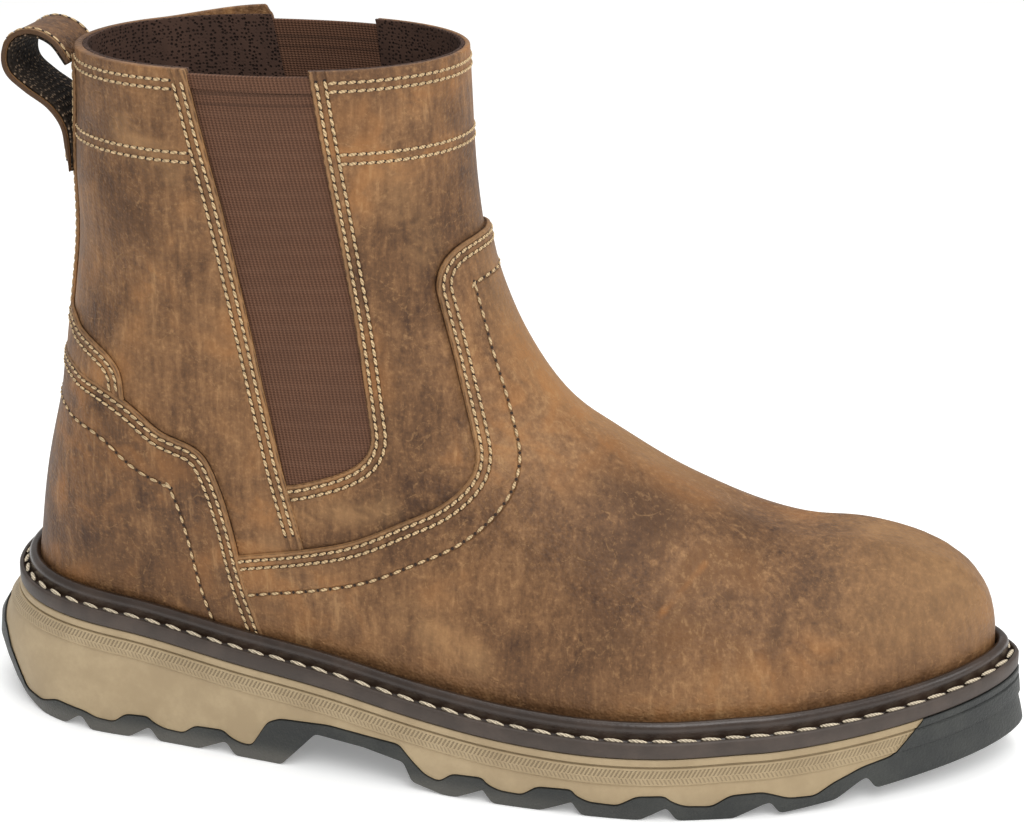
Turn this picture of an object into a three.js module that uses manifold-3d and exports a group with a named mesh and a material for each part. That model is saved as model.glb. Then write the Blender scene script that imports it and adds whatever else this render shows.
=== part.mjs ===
// A pull-on work boot for the right foot, with an elastic gore in each side, a stitched welt and a
// lugged two-colour sole. Millimetres, +X from heel to toe, +Y to the inner side of the foot, +Z up.
import * as THREE from 'three';
import { mergeVertices } from 'three/addons/utils/BufferGeometryUtils.js';
import Module from 'manifold-3d';

// Driving sizes
const SOLE_LENGTH = 305;
const BALL_WIDTH = 109;
const BOOT_HEIGHT = 204; // ground to collar
const SHAFT_WIDTH = 86;
const FOREFOOT_STACK = 26; // ground to the welt's top at the ball
const HEEL_RISE = 19.5; // what the heel adds to that
const TOE_RISE = 8; // what the toe's spring adds to that
const INSTEP_RISE = 90; // welt to the top of the instep
const TOE_BOX_RISE = 39; // welt to the top of the toe box

const LEDGE = 9; // welt's outer edge to the leather's foot
const WALL = 2.8; // leather and lining
const OVERLAY = 1.6; // leather laid over leather
const COUNTER_LEATHER = 2;
const SEAT = 0.3; // clearance between two pieces that touch
const GORE_THICKNESS = 1.6;
const GORE_RECESS = 0.9; // how far the elastic lies below the leather's face
const GORE_DROP = 1.2; // collar to the elastic's folded top
const GORE_CORNER = 6;

const WELT_THICKNESS = 7;
const WELT_BEAD = 2.2; // how far the bead stands above the welt's seat
const INSOLE_THICKNESS = 4;
const HEEL_FLARE = 8.5; // how far the back of the heel bulges behind the welt
const TOE_FLARE = 3.5; // how far the toe's bumper stands beyond the welt
const LUG_DEPTH = 3.9;
const SOLE_SKIN = 4.4; // dark rubber over the middle of a lug
const SOLE_SKIN_RAISED = 7.6; // dark rubber over the gap between two lugs
const SHANK_CLEARANCE = 11.5; // ground to the waist between heel and forefoot
const BUMPER_LENGTH = 26; // dark rubber that wraps the toe
const HEEL_WRAP_HEIGHT = 23;
const CHANNEL_WIDTH = 7; // lengthways channel between the lugs
const FOREFOOT_CHANNEL = -6.5; // where it lies across the forefoot
const OUTSOLE_PROUD = 0.5; // how far the dark rubber stands out beyond the midsole

const LOOP_WIDTH = 24;
const LOOP_THICKNESS = 2.6;
const LOOP_REACH = 21; // how far the loop stands behind the boot
const LOOP_HEIGHT = 40; // from its lower seam to its top
const BACKSTAY_WIDTH = 22;

const SPOKES = 20; // steps along each side of a ring
const RINGS = 18;
const SEAT_REACH = 0.8; // share of the rings that still bend with the welt's seat
const SOLE_STEPS = 25; // steps along each edge of the sole

// The sole's plan: x and centre as shares of SOLE_LENGTH, the two half widths as shares of BALL_WIDTH
const PLAN = [
  { x: 0.0, centre: 0.003, lateral: 0.372, medial: 0.385 },
  { x: 0.151, centre: 0.003, lateral: 0.39, medial: 0.39 },
  { x: 0.295, centre: -0.003, lateral: 0.44, medial: 0.339 },
  { x: 0.42, centre: -0.01, lateral: 0.483, medial: 0.321 },
  { x: 0.551, centre: -0.013, lateral: 0.526, medial: 0.376 },
  { x: 0.679, centre: -0.007, lateral: 0.544, medial: 0.44 },
  { x: 0.77, centre: 0.007, lateral: 0.519, medial: 0.454 },
  { x: 0.849, centre: 0.012, lateral: 0.49, medial: 0.45 },
  { x: 1.0, centre: 0.008, lateral: 0.465, medial: 0.45 },
];
const HEEL_ROUND = { length: 0.144, power: 2.2 };
const TOE_ROUND_LATERAL = { length: 0.233, power: 1.6 };
const TOE_ROUND_MEDIAL = { length: 0.31, power: 1.65 };
const TOE_TOP_ROUND = { length: 0.2, power: 2.8 };

// The foot: the welt's rise as shares of HEEL_RISE and TOE_RISE, the leather's top line above the welt
// as shares of INSTEP_RISE and TOE_BOX_RISE, and how full the section is
const FOOT = [
  { x: 0.0, heel: 1.0, toe: 0.0, instep: 0.16, box: 0.0, fullness: 2.0 },
  { x: 0.151, heel: 0.8, toe: 0.0, instep: 0.593, box: 0.0, fullness: 2.0 },
  { x: 0.262, heel: 0.57, toe: 0.0, instep: 0.832, box: 0.0, fullness: 2.0 },
  { x: 0.361, heel: 0.41, toe: 0.0, instep: 0.933, box: 0.0, fullness: 2.0 },
  { x: 0.459, heel: 0.17, toe: 0.0, instep: 1.0, box: 0.0, fullness: 1.5 },
  { x: 0.59, heel: -0.01, toe: 0.0, instep: 0.79, box: 0.0, fullness: 1.6 },
  { x: 0.679, heel: 0.0, toe: 0.0, instep: 0.4, box: 0.48, fullness: 1.7 },
  { x: 0.77, heel: 0.0, toe: 0.135, instep: 0.1, box: 0.845, fullness: 1.8 },
  { x: 0.852, heel: 0.0, toe: 0.31, instep: 0.0, box: 1.02, fullness: 1.9 },
  { x: 1.0, heel: 0.0, toe: 1.0, instep: 0.0, box: 0.95, fullness: 1.9 },
];

// The shaft: height as shares of BOOT_HEIGHT, lengthways places as shares of SOLE_LENGTH,
// half width as shares of SHAFT_WIDTH
const SHAFT = [
  { z: 0.147, back: 0.018, widest: 0.151, front: 0.59, half: 0.372 },
  { z: 0.245, back: 0.03, widest: 0.151, front: 0.58, half: 0.395 },
  { z: 0.368, back: 0.0455, widest: 0.157, front: 0.566, half: 0.43 },
  { z: 0.515, back: 0.068, widest: 0.19, front: 0.539, half: 0.442 },
  { z: 0.686, back: 0.0845, widest: 0.243, front: 0.486, half: 0.453 },
  { z: 0.858, back: 0.092, widest: 0.269, front: 0.4705, half: 0.477 },
  { z: 1.054, back: 0.096, widest: 0.275, front: 0.463, half: 0.5 },
];
const SHAFT_POWER = 2.3;
const BLEND = 20; // width of the soft join of foot and shaft
const ANKLE_LOW = 0.29; // share of BOOT_HEIGHT where the section starts to leave the sole's centre
const ANKLE_HIGH = 0.69; // share of BOOT_HEIGHT above which it stands on the shaft's centre

// Lines of the panels in side view: x as shares of SOLE_LENGTH, z as shares of BOOT_HEIGHT
const VAMP_EDGE = [
  { x: 0.23, z: 0.284 }, { x: 0.269, z: 0.304 }, { x: 0.331, z: 0.324 }, { x: 0.38, z: 0.343 },
  { x: 0.426, z: 0.373 }, { x: 0.462, z: 0.4 }, { x: 0.485, z: 0.426 }, { x: 0.492, z: 0.456 },
  { x: 0.485, z: 0.495 }, { x: 0.469, z: 0.574 }, { x: 0.452, z: 0.657 }, { x: 0.448, z: 0.696 },
  { x: 0.456, z: 0.73 }, { x: 0.479, z: 0.748 }, { x: 0.54, z: 0.758 },
];
const COUNTER_EDGE = [
  { x: -0.05, z: 0.556 }, { x: 0.079, z: 0.556 }, { x: 0.115, z: 0.544 }, { x: 0.141, z: 0.534 },
  { x: 0.167, z: 0.515 }, { x: 0.193, z: 0.483 }, { x: 0.213, z: 0.471 }, { x: 0.23, z: 0.461 },
  { x: 0.243, z: 0.44 }, { x: 0.256, z: 0.392 }, { x: 0.264, z: 0.343 }, { x: 0.274, z: 0.265 },
  { x: 0.29, z: 0.186 }, { x: 0.302, z: 0.1 },
];
const HEEL_TAB_EDGE = [
  { x: -0.05, z: 0.626 }, { x: 0.079, z: 0.624 }, { x: 0.108, z: 0.605 }, { x: 0.131, z: 0.591 },
  { x: 0.146, z: 0.578 }, { x: 0.156, z: 0.559 }, { x: 0.159, z: 0.529 }, { x: 0.161, z: 0.48 },
];
const GORE_BACK_EDGE = [
  { x: 0.2415, z: 1.0 }, { x: 0.256, z: 0.917 }, { x: 0.2705, z: 0.814 }, { x: 0.2855, z: 0.686 },
  { x: 0.3, z: 0.564 }, { x: 0.315, z: 0.461 }, { x: 0.3225, z: 0.415 },
];
const GORE_FRONT_EDGE = [
  { x: 0.3485, z: 1.0 }, { x: 0.357, z: 0.907 }, { x: 0.367, z: 0.794 }, { x: 0.377, z: 0.681 },
  { x: 0.3885, z: 0.569 }, { x: 0.401, z: 0.44 },
];

// Lugs as shares of SOLE_LENGTH: where each meets the ground, and where its slope ends in the gap
const HEEL_LUGS = [
  { start: 0.045, end: 0.075, gap: 0.092 }, { start: 0.105, end: 0.148, gap: 0.168 },
  { start: 0.18, end: 0.223, gap: 0.25 }, { start: 0.262, end: 0.311, gap: 0.348 },
];
const FOREFOOT_LUGS = [
  { start: 0.446, end: 0.489, gap: 0.515 }, { start: 0.525, end: 0.571, gap: 0.6 },
  { start: 0.61, end: 0.664, gap: 0.686 }, { start: 0.698, end: 0.748, gap: 0.774 },
  { start: 0.79, end: 0.839, gap: 0.861 }, { start: 0.875, end: 1.02, gap: 1.04 },
];
const SPRING_START = 0.767; // share of SOLE_LENGTH where the tread leaves the ground
const SPRING_SLOPE = 0.138;

// Side of the sole from the top down: drop in mm below the welt, how far in from the plan, and how far on
// the way through the flare of heel and toe
const SIDE_STEPS = [
  { drop: 0, inset: 0.5, flare: 0 }, { drop: 2, inset: 0.4, flare: 0.05 },
  { drop: 2.3, inset: 1.1, flare: 0.06 }, { drop: 2.9, inset: 0.3, flare: 0.07 },
  { drop: 7.8, inset: 0.1, flare: 0.2 }, { drop: 8.3, inset: 0.8, flare: 0.21 },
];
// The same below those steps, with the height as a share of what is left
const SIDE_LOWER = [
  { share: 0.6, inset: 0.2, flare: 0.57 }, { share: 0.2, inset: 0.3, flare: 0.79 },
  { share: 0, inset: 0.7, flare: 0.9 },
];
const FLARE_POWER = 1.3;
const TOE_FLARE_START = 0.12; // share of SOLE_LENGTH over which the toe's flare comes in

// Section of the welt: distance in from the plan's edge, and height above the leather's seat
const WELT_SECTION = [
  { inset: 0.4, up: -WELT_THICKNESS }, { inset: 0, up: -6 }, { inset: 0, up: -2.7 },
  { inset: 0.5, up: -2.1 }, { inset: 1.5, up: -2 }, { inset: 1.9, up: -2.9 }, { inset: 3.5, up: -2.9 },
  { inset: 3.8, up: -1 }, { inset: 4.1, up: 0.58 * WELT_BEAD }, { inset: 4.8, up: WELT_BEAD },
  { inset: 5.7, up: 0.85 * WELT_BEAD }, { inset: 6, up: 0 },
];

// The loop's middle line: how far behind the boot as shares of LOOP_REACH, height as shares of LOOP_HEIGHT
const LOOP_LINE = [
  { out: 0.06, up: 0.79 }, { out: 0.28, up: 0.94 }, { out: 0.58, up: 1.0 }, { out: 0.85, up: 0.95 },
  { out: 0.95, up: 0.83 }, { out: 0.9, up: 0.71 }, { out: 0.66, up: 0.6 }, { out: 0.33, up: 0.48 },
  { out: 0.13, up: 0.33 }, { out: 0.07, up: 0.14 }, { out: 0.055, up: 0 },
];

const wasm = await Module();
wasm.setup();

const clamp = (value, low, high) => Math.min(high, Math.max(low, value));
const mix = (a, b, t) => a + (b - a) * t;
const smooth = (t) => t * t * (3 - 2 * t);

// A smooth curve through one column of a table, over the table's first named column
function through(rows, over, column) {
  const at = rows.map((row) => row[over]);
  const value = rows.map((row) => row[column]);
  const step = at.slice(1).map((x, i) => x - at[i]);
  const rise = step.map((h, i) => (value[i + 1] - value[i]) / h);
  const slope = at.map((_, i) => {
    if (i === 0) return rise[0];
    if (i === at.length - 1) return rise[i - 1];
    return (rise[i - 1] * step[i] + rise[i] * step[i - 1]) / (step[i] + step[i - 1]);
  });
  return (place) => {
    const x = clamp(place, at[0], at[at.length - 1]);
    let i = 0;
    while (i < step.length - 1 && x > at[i + 1]) i += 1;
    const t = (x - at[i]) / step[i];
    const t2 = t * t;
    const t3 = t2 * t;
    return (
      (2 * t3 - 3 * t2 + 1) * value[i] + (t3 - 2 * t2 + t) * step[i] * slope[i] +
      (3 * t2 - 2 * t3) * value[i + 1] + (t3 - t2) * step[i] * slope[i + 1]
    );
  };
}

const planCentre = through(PLAN, 'x', 'centre');
const planHalf = { lateral: through(PLAN, 'x', 'lateral'), medial: through(PLAN, 'x', 'medial') };
const heelShare = through(FOOT, 'x', 'heel');
const toeShare = through(FOOT, 'x', 'toe');
const instepShare = through(FOOT, 'x', 'instep');
const boxShare = through(FOOT, 'x', 'box');
const fullnessAt = through(FOOT, 'x', 'fullness');
const shaftColumn = Object.fromEntries(
  ['back', 'widest', 'front', 'half'].map((name) => [name, through(SHAFT, 'z', name)]),
);

// How far a rounded end has drawn in, from 1 where the rounding starts to 0 at the tip
const roundOff = (u, power) => (1 - clamp(u, 0, 1) ** power) ** (1 / power);

// Height of the leather's seat on the welt
const seatHeight = (x) =>
  FOREFOOT_STACK + HEEL_RISE * heelShare(x / SOLE_LENGTH) + TOE_RISE * toeShare(x / SOLE_LENGTH);
const centreLine = (x) => SOLE_LENGTH * planCentre(x / SOLE_LENGTH);

// Half width of the sole's plan on one side, drawn in by inset
function planEdge(x, side, inset) {
  const toe = side === 'lateral' ? TOE_ROUND_LATERAL : TOE_ROUND_MEDIAL;
  const half = BALL_WIDTH * planHalf[side](x / SOLE_LENGTH) - inset;
  const toeStart = SOLE_LENGTH * (1 - toe.length);
  const heelStart = SOLE_LENGTH * HEEL_ROUND.length;
  const toToe = (x - toeStart) / (SOLE_LENGTH - inset - toeStart);
  const toHeel = (heelStart - x) / (heelStart - inset);
  return half * roundOff(toToe, toe.power) * roundOff(toHeel, HEEL_ROUND.power);
}

function smoothMax(a, b, width) {
  const h = clamp(0.5 + (0.5 * (a - b)) / width, 0, 1);
  return mix(b, a, h) + width * h * (1 - h);
}

// Square of the foot's half width at a place in side view, below 0 outside it
function footField(x, z) {
  const share = x / SOLE_LENGTH;
  const seat = seatHeight(x);
  const heelStart = SOLE_LENGTH * HEEL_ROUND.length;
  const place = Math.max(x, heelStart);
  const width = (planEdge(place, 'lateral', LEDGE) + planEdge(place, 'medial', LEDGE)) / 2;
  const tip = SOLE_LENGTH - LEDGE;
  const topStart = SOLE_LENGTH * (1 - TOE_TOP_ROUND.length) - LEDGE;
  const top = roundOff((x - topStart) / (tip - topStart), TOE_TOP_ROUND.power);
  const rise = (INSTEP_RISE * instepShare(share) + TOE_BOX_RISE * boxShare(share)) * top;
  const up = Math.max(z - seat, 0) / Math.max(rise, 0.5);
  const tuck = 1 - 0.03 * clamp(1 - (z - seat) / 16, 0, 1) ** 2;
  const behind = Math.max(0, (0.23 * SOLE_LENGTH - x) / (0.164 * SOLE_LENGTH));
  const beyond = Math.max(0, x - tip);
  const field = (width * tuck) ** 2 * (1 - up ** fullnessAt(share)) - (width * behind) ** 2;
  return field - 50 * beyond - (beyond > 0 ? 5 : 0);
}

// Square of the shaft's half width at a place in side view, below 0 outside it
function shaftField(x, z) {
  const share = z / BOOT_HEIGHT;
  const widest = SOLE_LENGTH * shaftColumn.widest(share);
  const end = SOLE_LENGTH * (x < widest ? shaftColumn.back(share) : shaftColumn.front(share));
  const half = SHAFT_WIDTH * shaftColumn.half(share);
  return half * half * (1 - Math.abs((x - widest) / (end - widest)) ** SHAFT_POWER);
}

const formField = (x, z) => smoothMax(footField(x, z), shaftField(x, z), BLEND * BLEND);

// The section's centre wanders with the sole's plan below and stands upright in the shaft
function formCentre(x, z) {
  const edges = planEdge(x, 'medial', LEDGE) - planEdge(x, 'lateral', LEDGE);
  const low = ANKLE_LOW * BOOT_HEIGHT;
  const high = ANKLE_HIGH * BOOT_HEIGHT;
  return (centreLine(x) + edges / 2) * (1 - smooth(clamp((z - low) / (high - low), 0, 1)));
}

// Where the form ends on the way from a place inside it, in a direction, in side view
function edgeFrom(x, z, dx, dz) {
  const reach = SOLE_LENGTH;
  let inside = 0;
  let outside = 1;
  for (let i = 0; i < 40; i += 1) {
    const middle = (inside + outside) / 2;
    if (formField(x + dx * reach * middle, z + dz * reach * middle) > 0) inside = middle;
    else outside = middle;
  }
  return [x + dx * reach * inside, z + dz * reach * inside];
}

// Points evenly spaced along a line of points
function spaced(points, count) {
  const run = [0];
  for (let i = 1; i < points.length; i += 1) {
    const gap = Math.hypot(...points[i].map((value, k) => value - points[i - 1][k]));
    run.push(run[i - 1] + gap);
  }
  const out = [];
  let i = 0;
  for (let n = 0; n <= count; n += 1) {
    const goal = (run[run.length - 1] * n) / count;
    while (i < run.length - 2 && run[i + 1] < goal) i += 1;
    const t = (goal - run[i]) / (run[i + 1] - run[i]);
    out.push(points[i].map((value, k) => mix(value, points[i + 1][k], t)));
  }
  return out;
}

// Starting places and directions from which the front line is found, toe first
const FRONT_FAN = [
  { turn: 0, x: 0.77, z: 0, dx: 1, dz: 0.12 }, { turn: 0.22, x: 0.656, z: 0.22, dx: 0.55, dz: 1 },
  { turn: 0.42, x: 0.492, z: 0.294, dx: 0.75, dz: 1 }, { turn: 0.62, x: 0.361, z: 0.466, dx: 1, dz: 0.75 },
  { turn: 0.78, x: 0.311, z: 0.686, dx: 1, dz: 0.2 }, { turn: 1, x: 0.289, z: 1, dx: 1, dz: 0 },
];

function frontLine(count) {
  const seat = seatHeight(0.77 * SOLE_LENGTH) / BOOT_HEIGHT;
  const rows = FRONT_FAN.map((row) => (row.turn === 0 ? { ...row, z: seat } : row));
  const points = [];
  for (let n = 0; n <= 200; n += 1) {
    const turn = n / 200;
    let i = 0;
    while (i < rows.length - 2 && rows[i + 1].turn < turn) i += 1;
    const t = (turn - rows[i].turn) / (rows[i + 1].turn - rows[i].turn);
    const at = (name) => mix(rows[i][name], rows[i + 1][name], t);
    const length = Math.hypot(at('dx'), at('dz'));
    points.push(
      edgeFrom(SOLE_LENGTH * at('x'), BOOT_HEIGHT * at('z'), at('dx') / length, at('dz') / length),
    );
  }
  return spaced(points, count);
}

function backLine(count) {
  const low = seatHeight(0.03 * SOLE_LENGTH);
  const points = [];
  for (let n = 0; n <= 200; n += 1) {
    points.push(edgeFrom(0.2 * SOLE_LENGTH, mix(low, BOOT_HEIGHT, n / 200), -1, 0));
  }
  return spaced(points, count);
}

// Rings around the boot from below the welt's seat to the collar, each from the back along the outer side
// to the front and back along the inner side
function formRings() {
  const front = frontLine(RINGS - 1);
  const back = backLine(RINGS - 1);
  const fine = 240;
  const rings = front.map((frontPoint, ring) => {
    const [backX, backZ] = back[ring];
    const lift = 1 - smooth(clamp(ring / (RINGS - 1) / SEAT_REACH, 0, 1));
    const sides = { lateral: [], medial: [] };
    for (let n = 0; n <= fine; n += 1) {
      const along = (1 - Math.cos((Math.PI * n) / fine)) / 2;
      const x = mix(backX, frontPoint[0], along);
      const footX = mix(back[0][0], front[0][0], along);
      const footZ = mix(back[0][1], front[0][1], along);
      const z = mix(backZ, frontPoint[1], along) + (seatHeight(footX) - footZ) * lift;
      const half = n === 0 || n === fine ? 0 : Math.sqrt(Math.max(0, formField(x, z)));
      sides.lateral.push([x, formCentre(x, z) - half, z]);
      sides.medial.push([x, formCentre(x, z) + half, z]);
    }
    const lateral = spaced(sides.lateral, SPOKES);
    const medial = spaced(sides.medial, SPOKES).reverse().slice(1, -1);
    return [...lateral, ...medial];
  });
  return [rings[0].map(([x, y, z]) => [x, y, z - WELT_THICKNESS]), ...rings];
}

const BASE_RINGS = formRings();

// The way out of the form at a point on its face
function formNormal([x, y, z]) {
  const h = 0.02; // half the stretch over which a slope is taken
  const out = 2 * (y - formCentre(x, z));
  const slopeX = (field) => (field(x + h, z) - field(x - h, z)) / (2 * h);
  const slopeZ = (field) => (field(x, z + h) - field(x, z - h)) / (2 * h);
  const dx = -out * slopeX(formCentre) - slopeX(formField);
  const dz = -out * slopeZ(formCentre) - slopeZ(formField);
  return new THREE.Vector3(dx, out, dz);
}

// The form's rings moved out along the face's normal, or in where the distance is below 0. The lowest
// rings and the highest move level, so that the seat and the collar stay flat.
function movedRings(distance) {
  return BASE_RINGS.map((ring, i) =>
    ring.map((point) => {
      const normal = formNormal(point);
      if (i < 2 || i === RINGS) normal.z = 0;
      normal.setLength(distance);
      return [point[0] + normal.x, point[1] + normal.y, point[2] + normal.z];
    }),
  );
}

// A solid from rings of points, closed with strips across its two ends
function ringSolid(rings) {
  const count = rings[0].length;
  const triangles = [];
  for (let i = 0; i < rings.length - 1; i += 1) {
    for (let j = 0; j < count; j += 1) {
      const lower = [i * count + j, i * count + ((j + 1) % count)];
      const upper = lower.map((n) => n + count);
      triangles.push([lower[0], lower[1], upper[1]], [lower[0], upper[1], upper[0]]);
    }
  }
  for (const [start, flip] of [[0, true], [(rings.length - 1) * count, false]]) {
    for (let j = 0; j < count / 2; j += 1) {
      const across = [j, j + 1, count - j - 1, (count - j) % count].map((n) => start + n);
      const corners = flip ? across.reverse() : across;
      const kept = corners.filter((n, m) => corners.indexOf(n) === m);
      for (let m = 1; m < kept.length - 1; m += 1) triangles.push([kept[0], kept[m], kept[m + 1]]);
    }
  }
  const mesh = new wasm.Mesh({
    numProp: 3,
    vertProperties: new Float32Array(rings.flat(2)),
    triVerts: new Uint32Array(triangles.flat()),
  });
  return new wasm.Manifold(mesh);
}

// A solid from a three.js geometry
function geometrySolid(geometry) {
  geometry.deleteAttribute('normal');
  geometry.deleteAttribute('uv');
  const merged = mergeVertices(geometry, 1e-4);
  return new wasm.Manifold(
    new wasm.Mesh({
      numProp: 3,
      vertProperties: new Float32Array(merged.attributes.position.array),
      triVerts: new Uint32Array(merged.index.array),
    }),
  );
}

// A side-view outline in mm pushed right through the boot from one level of y to another
function sideCut(outline, from = -BALL_WIDTH, to = BALL_WIDTH) {
  const shape = new THREE.Shape(outline.map(([x, z]) => new THREE.Vector2(x, z)));
  const geometry = new THREE.ExtrudeGeometry(shape, { depth: to - from, bevelEnabled: false });
  geometry.rotateX(Math.PI / 2);
  geometry.translate(0, to, 0);
  return geometrySolid(geometry);
}

// Points in mm along a smooth line through a table of side-view places
function panelLine(rows, steps, shift = 0) {
  const places = rows.map(({ x, z }) => new THREE.Vector2(x * SOLE_LENGTH, z * BOOT_HEIGHT));
  const line = new THREE.SplineCurve(places).getSpacedPoints(steps);
  return line.map((point, i) => {
    const before = line[Math.max(i - 1, 0)];
    const after = line[Math.min(i + 1, line.length - 1)];
    const along = new THREE.Vector2().subVectors(after, before).normalize();
    return [point.x - along.y * shift, point.y + along.x * shift];
  });
}

// What lies between two distances from the form's face
const skin = (from, to) => ringSolid(movedRings(to)).subtract(ringSolid(movedRings(from)));

const FAR = 2 * SOLE_LENGTH; // beyond every piece
const MARGIN = 40; // how far a cut reaches past the piece it cuts
const aboveSeat = roomAboveSeat();

// The room over the welt's seat, where the upper and its overlays lie
function roomAboveSeat() {
  const steps = 40;
  const low = [];
  for (let n = 0; n <= steps; n += 1) {
    const x = mix(-MARGIN, SOLE_LENGTH + MARGIN, n / steps);
    low.push([x, seatHeight(clamp(x, 0, SOLE_LENGTH)) + SEAT]);
  }
  return sideCut([...low, [SOLE_LENGTH + MARGIN, FAR], [-MARGIN, FAR]]);
}

// Everything behind and below the counter's edge
const counterRegion = (grow) => sideCut([...panelLine(COUNTER_EDGE, 22, grow), [-60, -40]]);

function makeUpper() {
  return skin(-WALL, 0).intersect(aboveSeat).subtract(goreWindow(0));
}

// The gore's outline drawn in by clearance, open at the collar
function goreOutline(clearance) {
  const back = panelLine(GORE_BACK_EDGE, 10, clearance);
  const front = panelLine(GORE_FRONT_EDGE, 10, -clearance);
  const foot = new THREE.Vector2(...back[back.length - 1]).add(new THREE.Vector2(0, clearance));
  const frontEnd = new THREE.Vector2(...front[front.length - 1]);
  const base = new THREE.Vector2(frontEnd.x - GORE_CORNER, frontEnd.y);
  const corner = new THREE.QuadraticBezierCurve(
    new THREE.Vector2(base.x - GORE_CORNER / 2, base.y - GORE_CORNER / 3 + clearance),
    new THREE.Vector2(frontEnd.x - 0.5, frontEnd.y - GORE_CORNER / 3),
    new THREE.Vector2(...front[front.length - 2]),
  );
  const round = corner.getPoints(5).map((point) => [point.x, point.y]);
  return { back: [...back.slice(0, -1), [foot.x, foot.y]], round, front: front.slice(0, -2).reverse() };
}

function goreWindow(clearance) {
  const { back, round, front } = goreOutline(clearance);
  const raised = (point) => [point[0], FAR];
  const outline = [raised(back[0]), ...back, ...round, ...front, raised(front[front.length - 1])];
  return sideCut(outline);
}

function makeGore(from, to) {
  const top = BOOT_HEIGHT - GORE_DROP;
  const panel = skin(-GORE_RECESS - GORE_THICKNESS, -GORE_RECESS);
  const below = block([0, from, 0], [SOLE_LENGTH, to, top]);
  return panel.intersect(goreWindow(SEAT)).intersect(below);
}

function makeCounter() {
  return skin(SEAT, SEAT + COUNTER_LEATHER).intersect(counterRegion(0)).intersect(aboveSeat);
}

function makeVamp() {
  const edge = panelLine(VAMP_EDGE, 28);
  const [back, top] = [edge[0], edge[edge.length - 1]];
  const beyond = SOLE_LENGTH + MARGIN;
  const region = sideCut([...edge, [beyond, top[1]], [beyond, -MARGIN], [back[0], -MARGIN]])
    .subtract(counterRegion(SEAT));
  return skin(SEAT, SEAT + OVERLAY).intersect(region).intersect(aboveSeat);
}

function makeHeelTab() {
  const edge = panelLine(HEEL_TAB_EDGE, 16);
  const region = sideCut([...edge, [-60, 0.4 * BOOT_HEIGHT]]).subtract(counterRegion(SEAT));
  return skin(SEAT, SEAT + OVERLAY).intersect(region);
}

// A box between two corners
function block(low, high) {
  const size = high.map((value, k) => value - low[k]);
  const geometry = new THREE.BoxGeometry(...size);
  geometry.translate(...low.map((value, k) => value + size[k] / 2));
  return geometrySolid(geometry);
}

function makePullLoop() {
  const foot = BOOT_HEIGHT - LOOP_HEIGHT + 2;
  const backAt = (z) => edgeFrom(0.2 * SOLE_LENGTH, Math.min(z, BOOT_HEIGHT), -1, 0)[0];
  const line = new THREE.SplineCurve(
    LOOP_LINE.map(({ out, up }) => {
      const z = foot + up * LOOP_HEIGHT;
      return new THREE.Vector2(backAt(z) - SEAT - out * LOOP_REACH, z);
    }),
  ).getSpacedPoints(20);
  const face = (side) =>
    line.map((point, i) => {
      const along = new THREE.Vector2()
        .subVectors(line[Math.min(i + 1, line.length - 1)], line[Math.max(i - 1, 0)])
        .normalize();
      const out = (side * LOOP_THICKNESS) / 2;
      return [point.x - along.y * out, point.y + along.x * out];
    });
  const strap = sideCut([...face(1), ...face(-1).reverse()], -LOOP_WIDTH / 2, LOOP_WIDTH / 2);
  const low = HEEL_TAB_EDGE[0].z * BOOT_HEIGHT + SEAT;
  const high = foot + LOOP_LINE[0].up * LOOP_HEIGHT;
  const middle = backAt(BOOT_HEIGHT) + 20;
  const stay = skin(SEAT, SEAT + OVERLAY).intersect(
    block([-20, -BACKSTAY_WIDTH / 2, low], [middle, BACKSTAY_WIDTH / 2, high]),
  );
  return strap.subtract(ringSolid(movedRings(SEAT))).add(stay);
}

// Points around the sole's plan drawn in by inset: from the heel along the outer edge to the toe and back.
// The places along it are the same share of the length whatever the inset.
function planRing(inset) {
  const place = (n) => {
    const along = (1 - Math.cos((Math.PI * n) / SOLE_STEPS)) / 2;
    return mix(inset, SOLE_LENGTH - inset, along);
  };
  const ring = [];
  for (let n = 0; n <= SOLE_STEPS; n += 1) {
    const x = place(n);
    ring.push([x, centreLine(x) - (n % SOLE_STEPS ? planEdge(x, 'lateral', inset) : 0)]);
  }
  for (let n = SOLE_STEPS - 1; n > 0; n -= 1) {
    const x = place(n);
    ring.push([x, centreLine(x) + planEdge(x, 'medial', inset)]);
  }
  return ring;
}

const weltFloor = (x) => seatHeight(clamp(x, 0, SOLE_LENGTH)) - WELT_THICKNESS - SEAT;

// The whole sole below the welt as one block, with the steps of its side and the flare of its two ends
function soleBlock(outset) {
  const lowest = SIDE_STEPS[SIDE_STEPS.length - 1].drop;
  const flared = (x, share) => {
    const heel = clamp(1 - x / (SOLE_LENGTH * HEEL_ROUND.length), 0, 1) ** 2;
    const toe = clamp(1 - (SOLE_LENGTH - x) / (SOLE_LENGTH * TOE_FLARE_START), 0, 1) ** 2;
    return x - HEEL_FLARE * heel * Math.sin(Math.PI * share) ** FLARE_POWER + TOE_FLARE * toe * share;
  };
  const rings = SIDE_STEPS.map(({ drop, inset, flare }) =>
    planRing(inset - outset).map(([x, y]) => [flared(x, flare), y, weltFloor(x) - drop]),
  );
  for (const { share, inset, flare } of SIDE_LOWER) {
    rings.push(
      planRing(inset - outset).map(([x, y]) => [flared(x, flare), y, (weltFloor(x) - lowest) * share]),
    );
  }
  return ringSolid(rings.reverse());
}

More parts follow.
